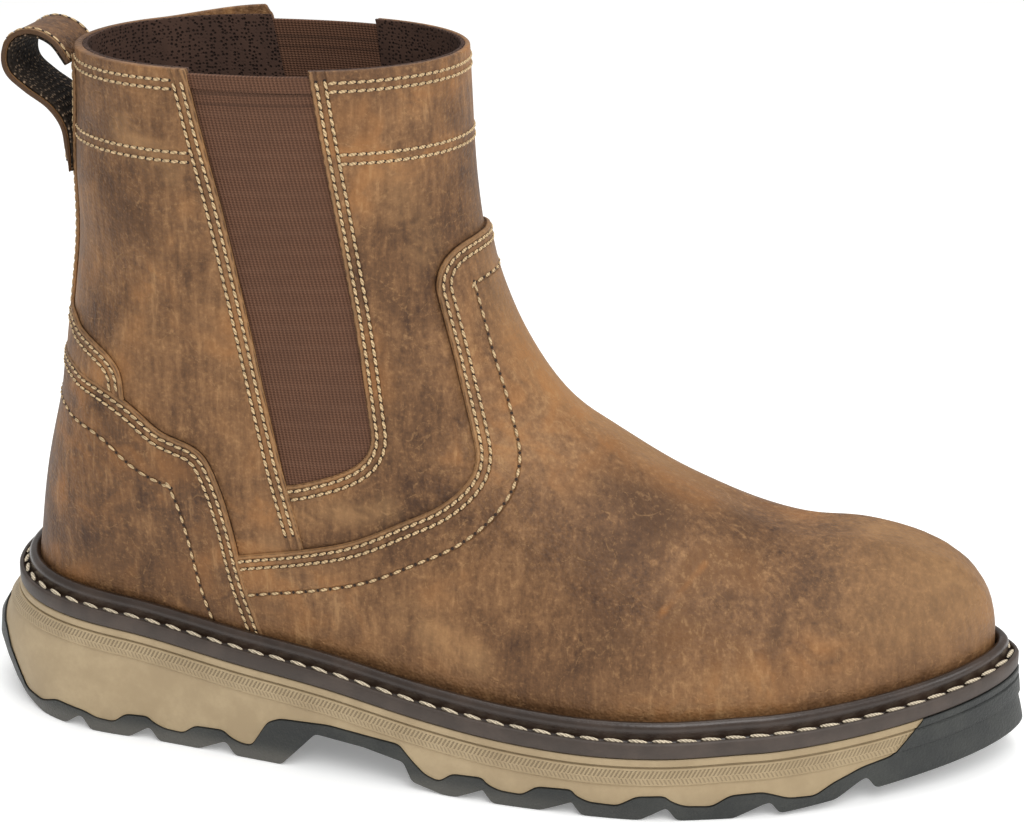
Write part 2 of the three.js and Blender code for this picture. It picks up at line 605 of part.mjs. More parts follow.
const spring = (x) => SPRING_SLOPE * Math.max(0, x - SPRING_START * SOLE_LENGTH);
const LUGS = [...HEEL_LUGS, ...FOREFOOT_LUGS].map((lug) => ({
  start: lug.start * SOLE_LENGTH,
  end: lug.end * SOLE_LENGTH,
  gap: lug.gap * SOLE_LENGTH,
}));
const heelEnd = LUGS[HEEL_LUGS.length - 1];
const waistEnd = LUGS[HEEL_LUGS.length];
const LUG_WALL = 2.6; // length of a lug's steep back face
const WAIST_BEVEL = 2.6; // how far the forefoot's first edge stands off the ground

// Side-view line of the tread: the bevelled heel, each lug and gap, the waist and the toe's spring
function treadLine() {
  const line = [[-MARGIN, 40], [-9, 22], [-7.5, 12], [-3, 6.5], [5, 2.4]];
  LUGS.forEach((lug, i) => {
    const next = LUGS[i + 1];
    line.push([lug.start, spring(lug.start) + (lug === waistEnd ? WAIST_BEVEL : 0)]);
    if (lug === waistEnd) line.push([mix(lug.start, lug.end, 0.7), 0]);
    line.push([lug.end, spring(lug.end)]);
    if (lug === heelEnd) {
      line.push([lug.gap, SHANK_CLEARANCE + 0.8], [mix(lug.gap, next.start, 0.5), SHANK_CLEARANCE - 0.5]);
      line.push([next.start - LUG_WALL, SHANK_CLEARANCE - 3]);
      return;
    }
    line.push([lug.gap, spring(lug.gap) + LUG_DEPTH]);
    if (next) line.push([next.start - LUG_WALL, spring(next.start) + LUG_DEPTH]);
  });
  line.push([SOLE_LENGTH + MARGIN, 40]);
  return line;
}

// Side-view line between the dark tread and the pale midsole, which dips over each lug
function colourLine() {
  const line = [[-MARGIN, 60], [-1, HEEL_WRAP_HEIGHT], [4, 12], [7, 5.5], [14, 4.5], [20, 7]];
  LUGS.forEach((lug, i) => {
    if (i === 0 || lug.end > SOLE_LENGTH - BUMPER_LENGTH) return;
    const ground = spring(lug.start);
    const dip = (lug.end - lug.start) * 0.62;
    if (lug === waistEnd) {
      line.push([lug.start, ground + SOLE_SKIN_RAISED + 1.5], [lug.start + 4, ground + SOLE_SKIN + 1]);
    } else {
      line.push([lug.start - 1.5, ground + SOLE_SKIN_RAISED - 1.8], [lug.start + 2, ground + SOLE_SKIN]);
    }
    if (lug === heelEnd) {
      line.push([lug.start + dip * 0.6, SOLE_SKIN], [lug.end - 4, 13], [lug.end, 14.8]);
      line.push([lug.gap + 4, 15.6], [waistEnd.start - 4, 13.5]);
      return;
    }
    line.push([lug.start + dip, ground + SOLE_SKIN - 0.3], [lug.end - 1, ground + SOLE_SKIN_RAISED - 0.4]);
    line.push([lug.gap, spring(lug.gap) + SOLE_SKIN_RAISED]);
  });
  const bumper = SOLE_LENGTH - BUMPER_LENGTH;
  line.push([bumper - 8, 13.5], [bumper, weltFloor(bumper)], [bumper + 4, 60]);
  return line;
}

// A channel along the tread from one place to another, with its middle at a place across
function channel(from, to, across) {
  const half = CHANNEL_WIDTH / 2;
  return block([from, across - half, -MARGIN], [to, across + half, LUG_DEPTH * 0.8]);
}

function makeOutsole() {
  const under = sideCut([...treadLine(), [SOLE_LENGTH + MARGIN, -MARGIN], [-MARGIN, -MARGIN]]);
  const line = colourLine().map(([x, z]) => [x, z - SEAT / 2]);
  const above = sideCut([...line, [line[line.length - 1][0], FAR], [-MARGIN, FAR]]);
  return soleBlock(OUTSOLE_PROUD)
    .subtract(above)
    .subtract(under)
    .subtract(channel(HEEL_LUGS[0].gap * SOLE_LENGTH, heelEnd.gap, 0))
    .subtract(channel(waistEnd.start - LUG_WALL, SPRING_START * SOLE_LENGTH, FOREFOOT_CHANNEL));
}

function makeMidsole() {
  const line = colourLine().map(([x, z]) => [x, z + SEAT / 2]);
  const last = line[line.length - 1];
  return soleBlock(0).subtract(
    sideCut([...line, [SOLE_LENGTH + MARGIN, last[1]], [SOLE_LENGTH + MARGIN, -MARGIN], [-MARGIN, -MARGIN]]),
  );
}

function makeWelt() {
  const rings = WELT_SECTION.map(({ inset, up }) =>
    planRing(inset).map(([x, y]) => [x, y, seatHeight(x) + up]),
  );
  return ringSolid(rings);
}

// Lies on the welt's seat, within the upper's wall
function makeInsole() {
  const rings = [SEAT, SEAT + INSOLE_THICKNESS].map((up) =>
    planRing(LEDGE).map(([x, y]) => [x, y, seatHeight(x) + up]),
  );
  return ringSolid(rings).intersect(ringSolid(movedRings(-WALL - SEAT)));
}

const MATERIALS = {
  leather: { color: 0x8a6238, roughness: 0.62 },
  elastic: { color: 0x4d2c1e, roughness: 0.85 },
  welt: { color: 0x3f302a, roughness: 0.5 },
  midsole: { color: 0xab9a78, roughness: 0.7 },
  outsole: { color: 0x39423f, roughness: 0.75 },
  insole: { color: 0x3a2c26, roughness: 0.9 },
};
const materials = Object.fromEntries(
  Object.entries(MATERIALS).map(([name, look]) => [
    name,
    new THREE.MeshStandardMaterial({ ...look, metalness: 0 }),
  ]),
);

const boot = new THREE.Group();

function add(name, solid, material) {
  const { vertProperties, triVerts } = solid.getMesh();
  const geometry = new THREE.BufferGeometry();
  geometry.setAttribute('position', new THREE.BufferAttribute(new Float32Array(vertProperties), 3));
  geometry.setIndex(new THREE.BufferAttribute(new Uint32Array(triVerts), 1));
  geometry.computeVertexNormals();
  const mesh = new THREE.Mesh(geometry, materials[material]);
  mesh.name = name;
  boot.add(mesh);
}

add('outsole', makeOutsole(), 'outsole');
add('midsole', makeMidsole(), 'midsole');
add('welt', makeWelt(), 'welt');
add('insole', makeInsole(), 'insole');
add('upper', makeUpper(), 'leather');
add('gore_lateral', makeGore(-BALL_WIDTH, 0), 'elastic');
add('gore_medial', makeGore(0, BALL_WIDTH), 'elastic');
add('vamp', makeVamp(), 'leather');
add('counter', makeCounter(), 'leather');
add('heel_tab', makeHeelTab(), 'leather');
add('pull_loop', makePullLoop(), 'leather');

// The origin is under the middle of the whole boot, on the ground
const bounds = new THREE.Box3().setFromObject(boot);
const middle = bounds.getCenter(new THREE.Vector3());
boot.children.forEach((mesh) => mesh.position.set(-middle.x, -middle.y, -bounds.min.z));

export default boot;
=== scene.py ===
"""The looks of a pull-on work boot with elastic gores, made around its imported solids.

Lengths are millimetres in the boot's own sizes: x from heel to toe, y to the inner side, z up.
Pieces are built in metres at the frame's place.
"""
import math

import bmesh
import bpy
import numpy as np
from mathutils import Matrix, Vector, kdtree
from mathutils.geometry import delaunay_2d_cdt


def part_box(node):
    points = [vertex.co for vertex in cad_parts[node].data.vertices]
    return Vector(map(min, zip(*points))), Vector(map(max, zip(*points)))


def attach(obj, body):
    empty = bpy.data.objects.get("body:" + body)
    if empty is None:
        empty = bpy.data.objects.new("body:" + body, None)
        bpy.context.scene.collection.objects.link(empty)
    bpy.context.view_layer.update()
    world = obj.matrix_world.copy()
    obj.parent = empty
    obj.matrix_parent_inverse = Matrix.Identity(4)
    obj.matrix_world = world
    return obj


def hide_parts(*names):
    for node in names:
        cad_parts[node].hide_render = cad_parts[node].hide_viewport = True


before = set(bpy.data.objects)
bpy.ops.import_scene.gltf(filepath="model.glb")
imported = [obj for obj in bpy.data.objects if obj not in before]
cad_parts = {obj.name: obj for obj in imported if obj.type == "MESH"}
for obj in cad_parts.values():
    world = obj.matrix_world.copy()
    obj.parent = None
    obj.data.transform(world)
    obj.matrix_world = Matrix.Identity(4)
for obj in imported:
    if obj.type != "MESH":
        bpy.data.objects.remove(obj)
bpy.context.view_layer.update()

MM = 0.001
LATERAL, MEDIAL = -1, 1
SIDES = (LATERAL, MEDIAL)

# Sizes that the frame gives
WELT_LOW, WELT_HIGH = (np.array(corner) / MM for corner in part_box("welt"))
WELT_MIDDLE_Y = -6.9  # the welt's middle across, from the heel's middle line
ORIGIN = np.array([WELT_LOW[0], (WELT_LOW[1] + WELT_HIGH[1]) / 2 - WELT_MIDDLE_Y, 0.0])
SOLE_LENGTH = WELT_HIGH[0] - WELT_LOW[0]
BOOT_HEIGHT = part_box("upper")[1].z / MM

# Sizes as in the solids
BALL_WIDTH = 109
SHAFT_WIDTH = 86
FOREFOOT_STACK = 26
HEEL_RISE = 19.5
TOE_RISE = 8
INSTEP_RISE = 90
TOE_BOX_RISE = 39
LEDGE = 9
WALL = 2.8
OVERLAY = 1.6
COUNTER_LEATHER = 2
SEAT = 0.3
GORE_THICKNESS = 1.6
GORE_RECESS = 0.9
GORE_DROP = 1.2
WELT_THICKNESS = 7
HEEL_FLARE = 8.5
TOE_FLARE = 3.5
LUG_DEPTH = 3.9
SOLE_SKIN = 4.4
SOLE_SKIN_RAISED = 7.6
SHANK_CLEARANCE = 11.5
BUMPER_LENGTH = 26
HEEL_WRAP_HEIGHT = 23
CHANNEL_WIDTH = 7
FOREFOOT_CHANNEL = -6.5
OUTSOLE_PROUD = 0.5
LOOP_WIDTH = 24
LOOP_THICKNESS = 2.6
LOOP_REACH = 21
LOOP_HEIGHT = 40
BACKSTAY_WIDTH = 22
FAR = 400

# Layers of the upper, as distances from the form's face
LINING_FACE = -WALL
LINING_BACK = -1.4
QUARTER_FACE = 0.8
VAMP_FACE = SEAT + OVERLAY
HEEL_TAB_FACE = VAMP_FACE + 0.1
COUNTER_FACE = SEAT + COUNTER_LEATHER

# The sole's plan as shares of SOLE_LENGTH and BALL_WIDTH
PLAN = {
    "x": (0.0, 0.151, 0.295, 0.42, 0.551, 0.679, 0.77, 0.849, 1.0),
    "centre": (0.003, 0.003, -0.003, -0.01, -0.013, -0.007, 0.007, 0.012, 0.008),
    "lateral": (0.372, 0.39, 0.44, 0.483, 0.526, 0.544, 0.519, 0.49, 0.465),
    "medial": (0.385, 0.39, 0.339, 0.321, 0.376, 0.44, 0.454, 0.45, 0.45),
}
HEEL_ROUND = (0.144, 2.2)
TOE_ROUND = {LATERAL: (0.233, 1.6), MEDIAL: (0.31, 1.65)}
TOE_TOP_ROUND = (0.2, 2.8)

# The foot: rises as shares of HEEL_RISE, TOE_RISE, INSTEP_RISE and TOE_BOX_RISE, and the fullness
# of its section
FOOT = {
    "x": (0.0, 0.151, 0.262, 0.361, 0.459, 0.59, 0.679, 0.77, 0.852, 1.0),
    "heel": (1.0, 0.8, 0.57, 0.41, 0.17, -0.01, 0.0, 0.0, 0.0, 0.0),
    "toe": (0.0, 0.0, 0.0, 0.0, 0.0, 0.0, 0.0, 0.135, 0.31, 1.0),
    "instep": (0.16, 0.593, 0.832, 0.933, 1.0, 0.79, 0.4, 0.1, 0.0, 0.0),
    "box": (0.0, 0.0, 0.0, 0.0, 0.0, 0.0, 0.48, 0.845, 1.02, 0.95),
    "fullness": (2.0, 2.0, 2.0, 2.0, 1.5, 1.6, 1.7, 1.8, 1.9, 1.9),
}

# The shaft: heights as shares of BOOT_HEIGHT, places of SOLE_LENGTH, half width of SHAFT_WIDTH
SHAFT = {
    "z": (0.147, 0.245, 0.368, 0.515, 0.686, 0.858, 1.054),
    "back": (0.018, 0.03, 0.0455, 0.068, 0.0845, 0.092, 0.096),
    "widest": (0.151, 0.151, 0.157, 0.19, 0.243, 0.269, 0.275),
    "front": (0.59, 0.58, 0.566, 0.539, 0.486, 0.4705, 0.463),
    "half": (0.372, 0.395, 0.43, 0.442, 0.453, 0.477, 0.5),
}
SHAFT_POWER = 2.3
BLEND = 20
ANKLE_LOW, ANKLE_HIGH = 0.29, 0.69

# Lines of the panels in side view, in mm
VAMP_EDGE = [
    (70, 58), (82, 62), (101, 66), (116, 70), (130, 76), (141, 81), (148, 87), (150, 93), (148, 101),
    (143, 117), (138, 134), (136.5, 142), (139, 149), (146, 152.6), (165, 154.6),
]
COUNTER_EDGE = [
    (-15, 113.4), (24, 113.4), (35, 111), (43, 109), (51, 105), (59, 98.5), (65, 96), (70, 94), (74, 89.8),
    (78, 80), (80.5, 70), (83.6, 54), (88.5, 38), (92, 20),
]
HEEL_TAB_EDGE = [
    (-15, 127.4), (24, 127), (33, 123.4), (40, 120.6), (44.5, 118), (47.6, 114), (48.5, 108), (49, 99),
]
QUARTER_EDGE = [
    (72.4, 206), (76.2, 188), (80.8, 166), (85.2, 140), (89.8, 115), (94.4, 94), (98, 80), (101.6, 66),
    (104, 56),
]
GORE_WINDOW = [
    (91, 83.6), (98.4, 84.8), (105, 86.6), (111.5, 88.8), (116.6, 91.4), (119.8, 94.6), (121, 99),
    (120.2, 105), (118.5, 116), (115, 139), (112, 162), (108.9, 185), (106.3, 206),
]

# Soft troughs (above 0) and ridges (below 0) of worn leather: places on the boot, reach and depth in mm
CREASES = [
    ((246, -6, 67), (236, -44, 44), 7, 0.8), ((247, 8, 67), (238, 30, 50), 7, 0.7),
    ((262, -4, 66), (256, -34, 52), 14, -0.5),
    ((158, -4, 128), (168, -34, 84), 7, 0.5), ((168, -48, 60), (150, -50, 50), 8, 0.4),
    ((190, -10, 94), (214, -40, 62), 10, 0.6), ((216, -6, 82), (226, -44, 52), 9, -0.5),
    ((150, -8, 118), (132, -36, 90), 6, 0.7), ((150, 8, 118), (132, 30, 90), 6, 0.7),
    ((126, -38, 104), (146, -20, 128), 8, -0.6), ((140, -12, 172), (116, -38, 150), 12, 0.9),
    ((141, -4, 190), (120, -34, 176), 9, -0.5), ((24, -20, 150), (62, -36, 138), 10, 0.9),
    ((26, -16, 172), (66, -38, 160), 11, -0.8), ((22, -14, 100), (52, -36, 84), 9, 0.5),
    ((20, -22, 62), (60, -38, 58), 10, -0.6), ((24, 20, 150), (62, 36, 138), 10, 0.9),
    ((140, 12, 172), (116, 38, 150), 12, 0.8), ((190, 10, 94), (214, 30, 62), 10, 0.5),
    ((60, -38, 130), (84, -40, 118), 9, 0.5), ((100, -40, 150), (96, -41, 110), 14, 0.8),
]
SHAFT_WAVE = 0.35  # slow unevenness of the leather


def smooth(t):
    t = np.clip(t, 0, 1)
    return t * t * (3 - 2 * t)


def mix(a, b, t):
    return a + (b - a) * t


def unit(vectors):
    return vectors / np.maximum(np.linalg.norm(vectors, axis=-1, keepdims=True), 1e-9)


def through(at, value):
    """A smooth curve through one column of a table."""
    at, value = np.array(at, float), np.array(value, float)
    step = np.diff(at)
    rise = np.diff(value) / step
    inner = (rise[:-1] * step[1:] + rise[1:] * step[:-1]) / (step[1:] + step[:-1])
    slope = np.concatenate([rise[:1], inner, rise[-1:]])

    def curve(place):
        x = np.clip(place, at[0], at[-1])
        i = np.clip(np.searchsorted(at, x, side="right") - 1, 0, len(step) - 1)
        t = (x - at[i]) / step[i]
        low = (2 * t**3 - 3 * t**2 + 1) * value[i] + (t**3 - 2 * t**2 + t) * step[i] * slope[i]
        return low + (3 * t**2 - 2 * t**3) * value[i + 1] + (t**3 - t**2) * step[i] * slope[i + 1]

    return curve


plan = {name: through(PLAN["x"], PLAN[name]) for name in ("centre", "lateral", "medial")}
foot = {name: through(FOOT["x"], FOOT[name]) for name in FOOT if name != "x"}
shaft = {name: through(SHAFT["z"], SHAFT[name]) for name in SHAFT if name != "z"}


def round_off(u, power):
    return (1 - np.clip(u, 0, 1) ** power) ** (1 / power)


def seat_height(x):
    share = np.clip(x, 0, SOLE_LENGTH) / SOLE_LENGTH
    return FOREFOOT_STACK + HEEL_RISE * foot["heel"](share) + TOE_RISE * foot["toe"](share)


def centre_line(x):
    return SOLE_LENGTH * plan["centre"](x / SOLE_LENGTH)


def plan_edge(x, side, inset):
    """Half width of the sole's plan on one side, drawn in by inset."""
    length, power = TOE_ROUND[side]
    half = BALL_WIDTH * plan["lateral" if side == LATERAL else "medial"](x / SOLE_LENGTH) - inset
    toe_start = SOLE_LENGTH * (1 - length)
    heel_start = SOLE_LENGTH * HEEL_ROUND[0]
    to_toe = (x - toe_start) / (SOLE_LENGTH - inset - toe_start)
    to_heel = (heel_start - x) / (heel_start - inset)
    return half * round_off(to_toe, power) * round_off(to_heel, HEEL_ROUND[1])


def foot_field(x, z):
    """Square of the foot's half width at a place in side view, below 0 outside it."""
    share = x / SOLE_LENGTH
    place = np.maximum(x, SOLE_LENGTH * HEEL_ROUND[0])
    width = (plan_edge(place, LATERAL, LEDGE) + plan_edge(place, MEDIAL, LEDGE)) / 2
    tip = SOLE_LENGTH - LEDGE
    top_start = SOLE_LENGTH * (1 - TOE_TOP_ROUND[0]) - LEDGE
    top = round_off((x - top_start) / (tip - top_start), TOE_TOP_ROUND[1])
    rise = (INSTEP_RISE * foot["instep"](share) + TOE_BOX_RISE * foot["box"](share)) * top
    above = z - seat_height(x)
    up = np.maximum(above, 0) / np.maximum(rise, 0.5)
    tuck = 1 - 0.03 * np.clip(1 - above / 16, 0, 1) ** 2
    behind = np.maximum(0, (0.23 * SOLE_LENGTH - x) / (0.164 * SOLE_LENGTH))
    beyond = np.maximum(0, x - tip)
    field = (width * tuck) ** 2 * (1 - up ** foot["fullness"](share)) - (width * behind) ** 2
    return field - 50 * beyond - 5 * (beyond > 0)


def shaft_field(x, z):
    share = z / BOOT_HEIGHT
    widest = SOLE_LENGTH * shaft["widest"](share)
    end = SOLE_LENGTH * np.where(x < widest, shaft["back"](share), shaft["front"](share))
    half = SHAFT_WIDTH * shaft["half"](share)
    return half**2 * (1 - np.abs((x - widest) / (end - widest)) ** SHAFT_POWER)


def form_field(x, z):
    a, b, width = foot_field(x, z), shaft_field(x, z), BLEND**2
    h = np.clip(0.5 + 0.5 * (a - b) / width, 0, 1)
    return mix(b, a, h) + width * h * (1 - h)


def form_centre(x, z):
    edges = plan_edge(x, MEDIAL, LEDGE) - plan_edge(x, LATERAL, LEDGE)
    low, high = ANKLE_LOW * BOOT_HEIGHT, ANKLE_HIGH * BOOT_HEIGHT
    return (centre_line(x) + edges / 2) * (1 - smooth((z - low) / (high - low)))


def form_normal(p):
    """The way out of the form at points on its face."""
    x, y, z = p[..., 0], p[..., 1], p[..., 2]
    h = 0.05
    out = 2 * (y - form_centre(x, z))
    dx = [(f(x + h, z) - f(x - h, z)) / (2 * h) for f in (form_centre, form_field)]
    dz = [(f(x, z + h) - f(x, z - h)) / (2 * h) for f in (form_centre, form_field)]
    return np.stack([-out * dx[0] - dx[1], out, -out * dz[0] - dz[1]], -1)


def edge_from(x, z, dx, dz):
    """Where the form ends on the way from places inside it, in side view."""
    x, z, dx, dz = np.broadcast_arrays(*(np.asarray(a, float) for a in (x, z, dx, dz)))
    inside, outside = np.zeros(x.shape), np.full(x.shape, SOLE_LENGTH)
    for _ in range(44):
        middle = (inside + outside) / 2
        within = form_field(x + dx * middle, z + dz * middle) > 0
        inside, outside = np.where(within, middle, inside), np.where(within, outside, middle)
    return np.stack([x + dx * inside, z + dz * inside], -1)


def run_of(points):
    """Length along a line of points, up to each."""
    return np.concatenate([[0], np.cumsum(np.linalg.norm(np.diff(points, axis=0), axis=1))])


def spaced(points, count):
    """count + 1 points evenly along a line of points."""
    run = run_of(points)
    goal = np.linspace(0, run[-1], count + 1)
    return np.stack([np.interp(goal, run, column) for column in points.T], -1)


def every(points, step):
    return spaced(points, max(2, round(run_of(points)[-1] / step)))


def spline(places, step=1.0):
    """Points evenly along a smooth line through a list of places."""
    p = np.array(places, float)
    p = np.vstack([2 * p[0] - p[1], p, 2 * p[-1] - p[-2]])
    t = np.linspace(0, 1, 24, endpoint=False)[:, None]
    parts = []
    for a, b, c, d in zip(p, p[1:], p[2:], p[3:]):
        bend, twist = 2 * a - 5 * b + 4 * c - d, 3 * b - a - 3 * c + d
        parts.append(0.5 * (2 * b + (c - a) * t + bend * t**2 + twist * t**3))
    return every(np.vstack([*parts, p[-2]]), step)


# Starting places and directions from which the front line is found, toe first
FRONT_FAN = np.array([
    (0, 0.77, 0, 1, 0.12), (0.22, 0.656, 0.22, 0.55, 1), (0.42, 0.492, 0.294, 0.75, 1),
    (0.62, 0.361, 0.466, 1, 0.75), (0.78, 0.311, 0.686, 1, 0.2), (1, 0.289, 1, 1, 0),
])


class Form:
    """The boot's face as a chart: u goes round from the back along the outer side, v up from the seat."""

    ROWS, HALF = 150, 260
    WIDE, HIGH = 520, 190  # mm that the whole chart stands for when panels are laid out on it
    LEVEL_ENDS = 17  # at seat and collar, ways out turn level over one part in this many of the height
    SIDE_EDGE = 0.4  # square mm of half width left where a line laid on a side is cut

    def __init__(self):
        fan = FRONT_FAN.copy()
        fan[0, 2] = seat_height(0.77 * SOLE_LENGTH) / BOOT_HEIGHT
        turn = np.linspace(0, 1, 600)
        x, z, dx, dz = (np.interp(turn, fan[:, 0], fan[:, k]) for k in range(1, 5))
        length = np.hypot(dx, dz)
        front = spaced(edge_from(SOLE_LENGTH * x, BOOT_HEIGHT * z, dx / length, dz / length), self.ROWS)
        heights = np.linspace(seat_height(0.03 * SOLE_LENGTH), BOOT_HEIGHT, 600)
        back = spaced(edge_from(0.2 * SOLE_LENGTH, heights, -1.0, 0.0), self.ROWS)
        along = (1 - np.cos(np.linspace(0, math.pi, 500))) / 2
        rows = []
        for i in range(self.ROWS + 1):
            lift = 1 - smooth(i / self.ROWS / 0.8)
            x = mix(back[i, 0], front[i, 0], along)
            foot_x, foot_z = (mix(back[0, k], front[0, k], along) for k in (0, 1))
            z = mix(back[i, 1], front[i, 1], along) + (seat_height(foot_x) - foot_z) * lift
            half = np.sqrt(np.maximum(0, form_field(x, z)))
            half[[0, -1]] = 0
            sides = [
                spaced(np.stack([x, form_centre(x, z) + side * half, z], -1), self.HALF) for side in SIDES
            ]
            rows.append(np.vstack([sides[0], sides[1][::-1][1:-1]]))
        self.face = np.array(rows)
        v = np.linspace(0, 1, self.ROWS + 1)[:, None]
        out = form_normal(self.face)
        out[..., 2] *= smooth(v * self.LEVEL_ENDS) * smooth((1 - v) * self.LEVEL_ENDS)
        self.out = unit(out)
        self.face += self.out * self.wear(self.face, v)[..., None]
        self.around = self.face.shape[1]
        self.tree = kdtree.KDTree(self.face.shape[0] * self.around)
        for n, point in enumerate(self.face.reshape(-1, 3)):
            self.tree.insert(point, n)
        self.tree.balance()

    def wear(self, p, v):
        """How far soft creases and unevenness move the face out."""
        total = np.zeros(p.shape[:-1])
        for start, end, reach, depth in CREASES:
            start, end = np.array(start, float), np.array(end, float)
            way = end - start
            t = np.clip(((p - start) @ way) / (way @ way), 0, 1)
            gap = np.linalg.norm(p - start - t[..., None] * way, axis=-1)
            total -= depth * np.exp(-((gap / reach) ** 2)) * np.sin(math.pi * mix(0.12, 0.88, t))
        x, y, z = p[..., 0], p[..., 1], p[..., 2]
        wave = np.sin(x / 13 + z / 21) * np.sin(z / 17 - y / 23 + 1.3)
        wave += 0.5 * np.sin(z / 9 + x / 31 + y / 12)
        high = smooth((z - 70) / 50)
        return (total + SHAFT_WAVE * wave * mix(0.35, 1, high)) * smooth(v * 9) * smooth((1 - v) * 6)

    def _lookup(self, grid, u, v):
        a = np.mod(u, 1) * self.around
        b = np.clip(v, 0, 1) * self.ROWS
        i, j = np.floor(a).astype(int), np.minimum(np.floor(b).astype(int), self.ROWS - 1)
        s, t = (a - i)[..., None], (b - j)[..., None]
        i, k = i % self.around, (i + 1) % self.around
        return mix(mix(grid[j, i], grid[j, k], s), mix(grid[j + 1, i], grid[j + 1, k], s), t)

    def way_out(self, uv):
        return unit(self._lookup(self.out, uv[..., 0], uv[..., 1]))

    def at(self, uv, out=0.0):
        """Points on the boot at chart places, a distance out from the form's face."""
        p = self._lookup(self.face, uv[..., 0], uv[..., 1])
        p = p + self.way_out(uv) * np.broadcast_to(np.asarray(out, float), p.shape[:-1])[..., None]
        p[..., 2] += np.minimum(uv[..., 1], 0) * self.HIGH + np.maximum(uv[..., 1] - 1, 0) * self.HIGH
        return p

    def find(self, points):
        """Chart places of points near the face, u running on past 1 or below 0 without a jump."""
        found = []
        for point in points:
            _, n, _ = self.tree.find(point)
            u, v = (n % self.around) / self.around, (n // self.around) / self.ROWS
            for _ in range(4):
                here = self.at(np.array([(u, v), (u + 0.002, v), (u, v + 0.003)]))
                du, dv, gap = (here[1] - here[0]) / 0.002, (here[2] - here[0]) / 0.003, point - here[0]
                step = np.linalg.lstsq(np.stack([du, dv], 1), gap, rcond=None)[0]
                u, v = u + float(np.clip(step[0], -0.01, 0.01)), min(max(v + float(step[1]), -0.04), 1.02)
            if found:
                u += round(found[-1][0] - u)
            found.append((u, v))
        return np.array(found)

    def lay(self, line, side):
        """Chart places of a side-view line laid on one side of the boot, cut at its front or back."""
        x, z = line[:, 0], line[:, 1]
        field = form_field(x, z)
        kept = field > self.SIDE_EDGE
        x, z, field = x[kept], z[kept], field[kept]
        points = np.stack([x, form_centre(x, z) + side * np.sqrt(field), z], -1)
        return self.find(points)


form = Form()


def chart_mm(uv):
    return uv * np.array([Form.WIDE, Form.HIGH])


def from_chart_mm(p):
    return p / np.array([Form.WIDE, Form.HIGH])


def moved(line, inset):
    """A chart line moved over the face by a distance in mm, to the upper left in the outer side view."""
    p = form.at(line)
    side = unit(np.cross(form.way_out(line), np.gradient(p, axis=0)))
    return form.find(p + side * inset)


def side_line(places, side):
    return form.lay(spline(places), side)


def joined_over(places, middle_u):
    """A line on both sides joined over the front (0.5) or the back (0), outer side first."""
    outer, inner = (side_line(places, side) for side in SIDES)
    if middle_u == 0:
        outer, inner = outer[::-1], inner[::-1]
        inner[:, 0] -= 1 if inner[:, 0].mean() > 0.5 else 0
    inner = inner[::-1]
    middle = [middle_u, (outer[-1, 1] + inner[0, 1]) / 2]
    whole = np.vstack([outer, [middle], inner])
    return from_chart_mm(every(chart_mm(whole), 1.0))


def add_mesh(name, points, faces, material, uv=None, attributes=None, smooth_faces=True):
    """A piece from points in mm and faces; its place is in its mesh."""
    mesh = bpy.data.meshes.new(name)
    mesh.from_pydata(((np.asarray(points) + ORIGIN) * MM).tolist(), [], [list(map(int, f)) for f in faces])
    if smooth_faces:
        mesh.polygons.foreach_set("use_smooth", [True] * len(mesh.polygons))
    if uv is not None:
        layer = mesh.uv_layers.new(name="run")
        corners = np.zeros(len(mesh.loops), np.int32)
        mesh.loops.foreach_get("vertex_index", corners)
        layer.data.foreach_set("uv", (np.asarray(uv, float)[corners] * MM).astype(np.float32).ravel())
    for key, values in (attributes or {}).items():
        layer = mesh.attributes.new(key, "FLOAT", "POINT")
        layer.data.foreach_set("value", np.asarray(values, np.float32))
    if material is not None:
        mesh.materials.append(material)
    piece = bpy.data.objects.new(name, mesh)
    bpy.context.scene.collection.objects.link(piece)
    return piece


def face_out(piece):
    """Turns a closed piece's faces outwards."""
    work = bmesh.new()
    work.from_mesh(piece.data)
    bmesh.ops.remove_doubles(work, verts=work.verts, dist=1e-7)
    bmesh.ops.recalc_face_normals(work, faces=work.faces)
    work.to_mesh(piece.data)
    work.free()
    return piece


def finish_piece(piece, slot, *nodes):
    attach(piece, "root")
    if nodes:
        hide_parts(*nodes)
    return piece


def inside(points, loop):
    """Which points lie within a closed loop."""
    hit = np.zeros(len(points), bool)
    x, y = points[:, 0], points[:, 1]
    for (x0, y0), (x1, y1) in zip(loop, np.roll(loop, -1, axis=0)):
        if y0 == y1:
            continue
        crosses = (y0 > y) != (y1 > y)
        hit ^= crosses & (x < (x1 - x0) * (y - y0) / (y1 - y0) + x0)
    return hit


def drawn_in(loop, inset):
    """A closed loop, running anticlockwise, drawn in by inset."""
    before, after = np.roll(loop, 1, axis=0), np.roll(loop, -1, axis=0)
    t = unit(unit(loop - before) + unit(after - loop))
    return loop + inset * np.stack([-t[:, 1], t[:, 0]], -1)


def nearest(points, line):
    """Distance in mm from each point to a line of points."""
    tree = kdtree.KDTree(len(line))
    for n, point in enumerate(line):
        tree.insert(point, n)
    tree.balance()
    return np.array([tree.find(point)[2] for point in points])


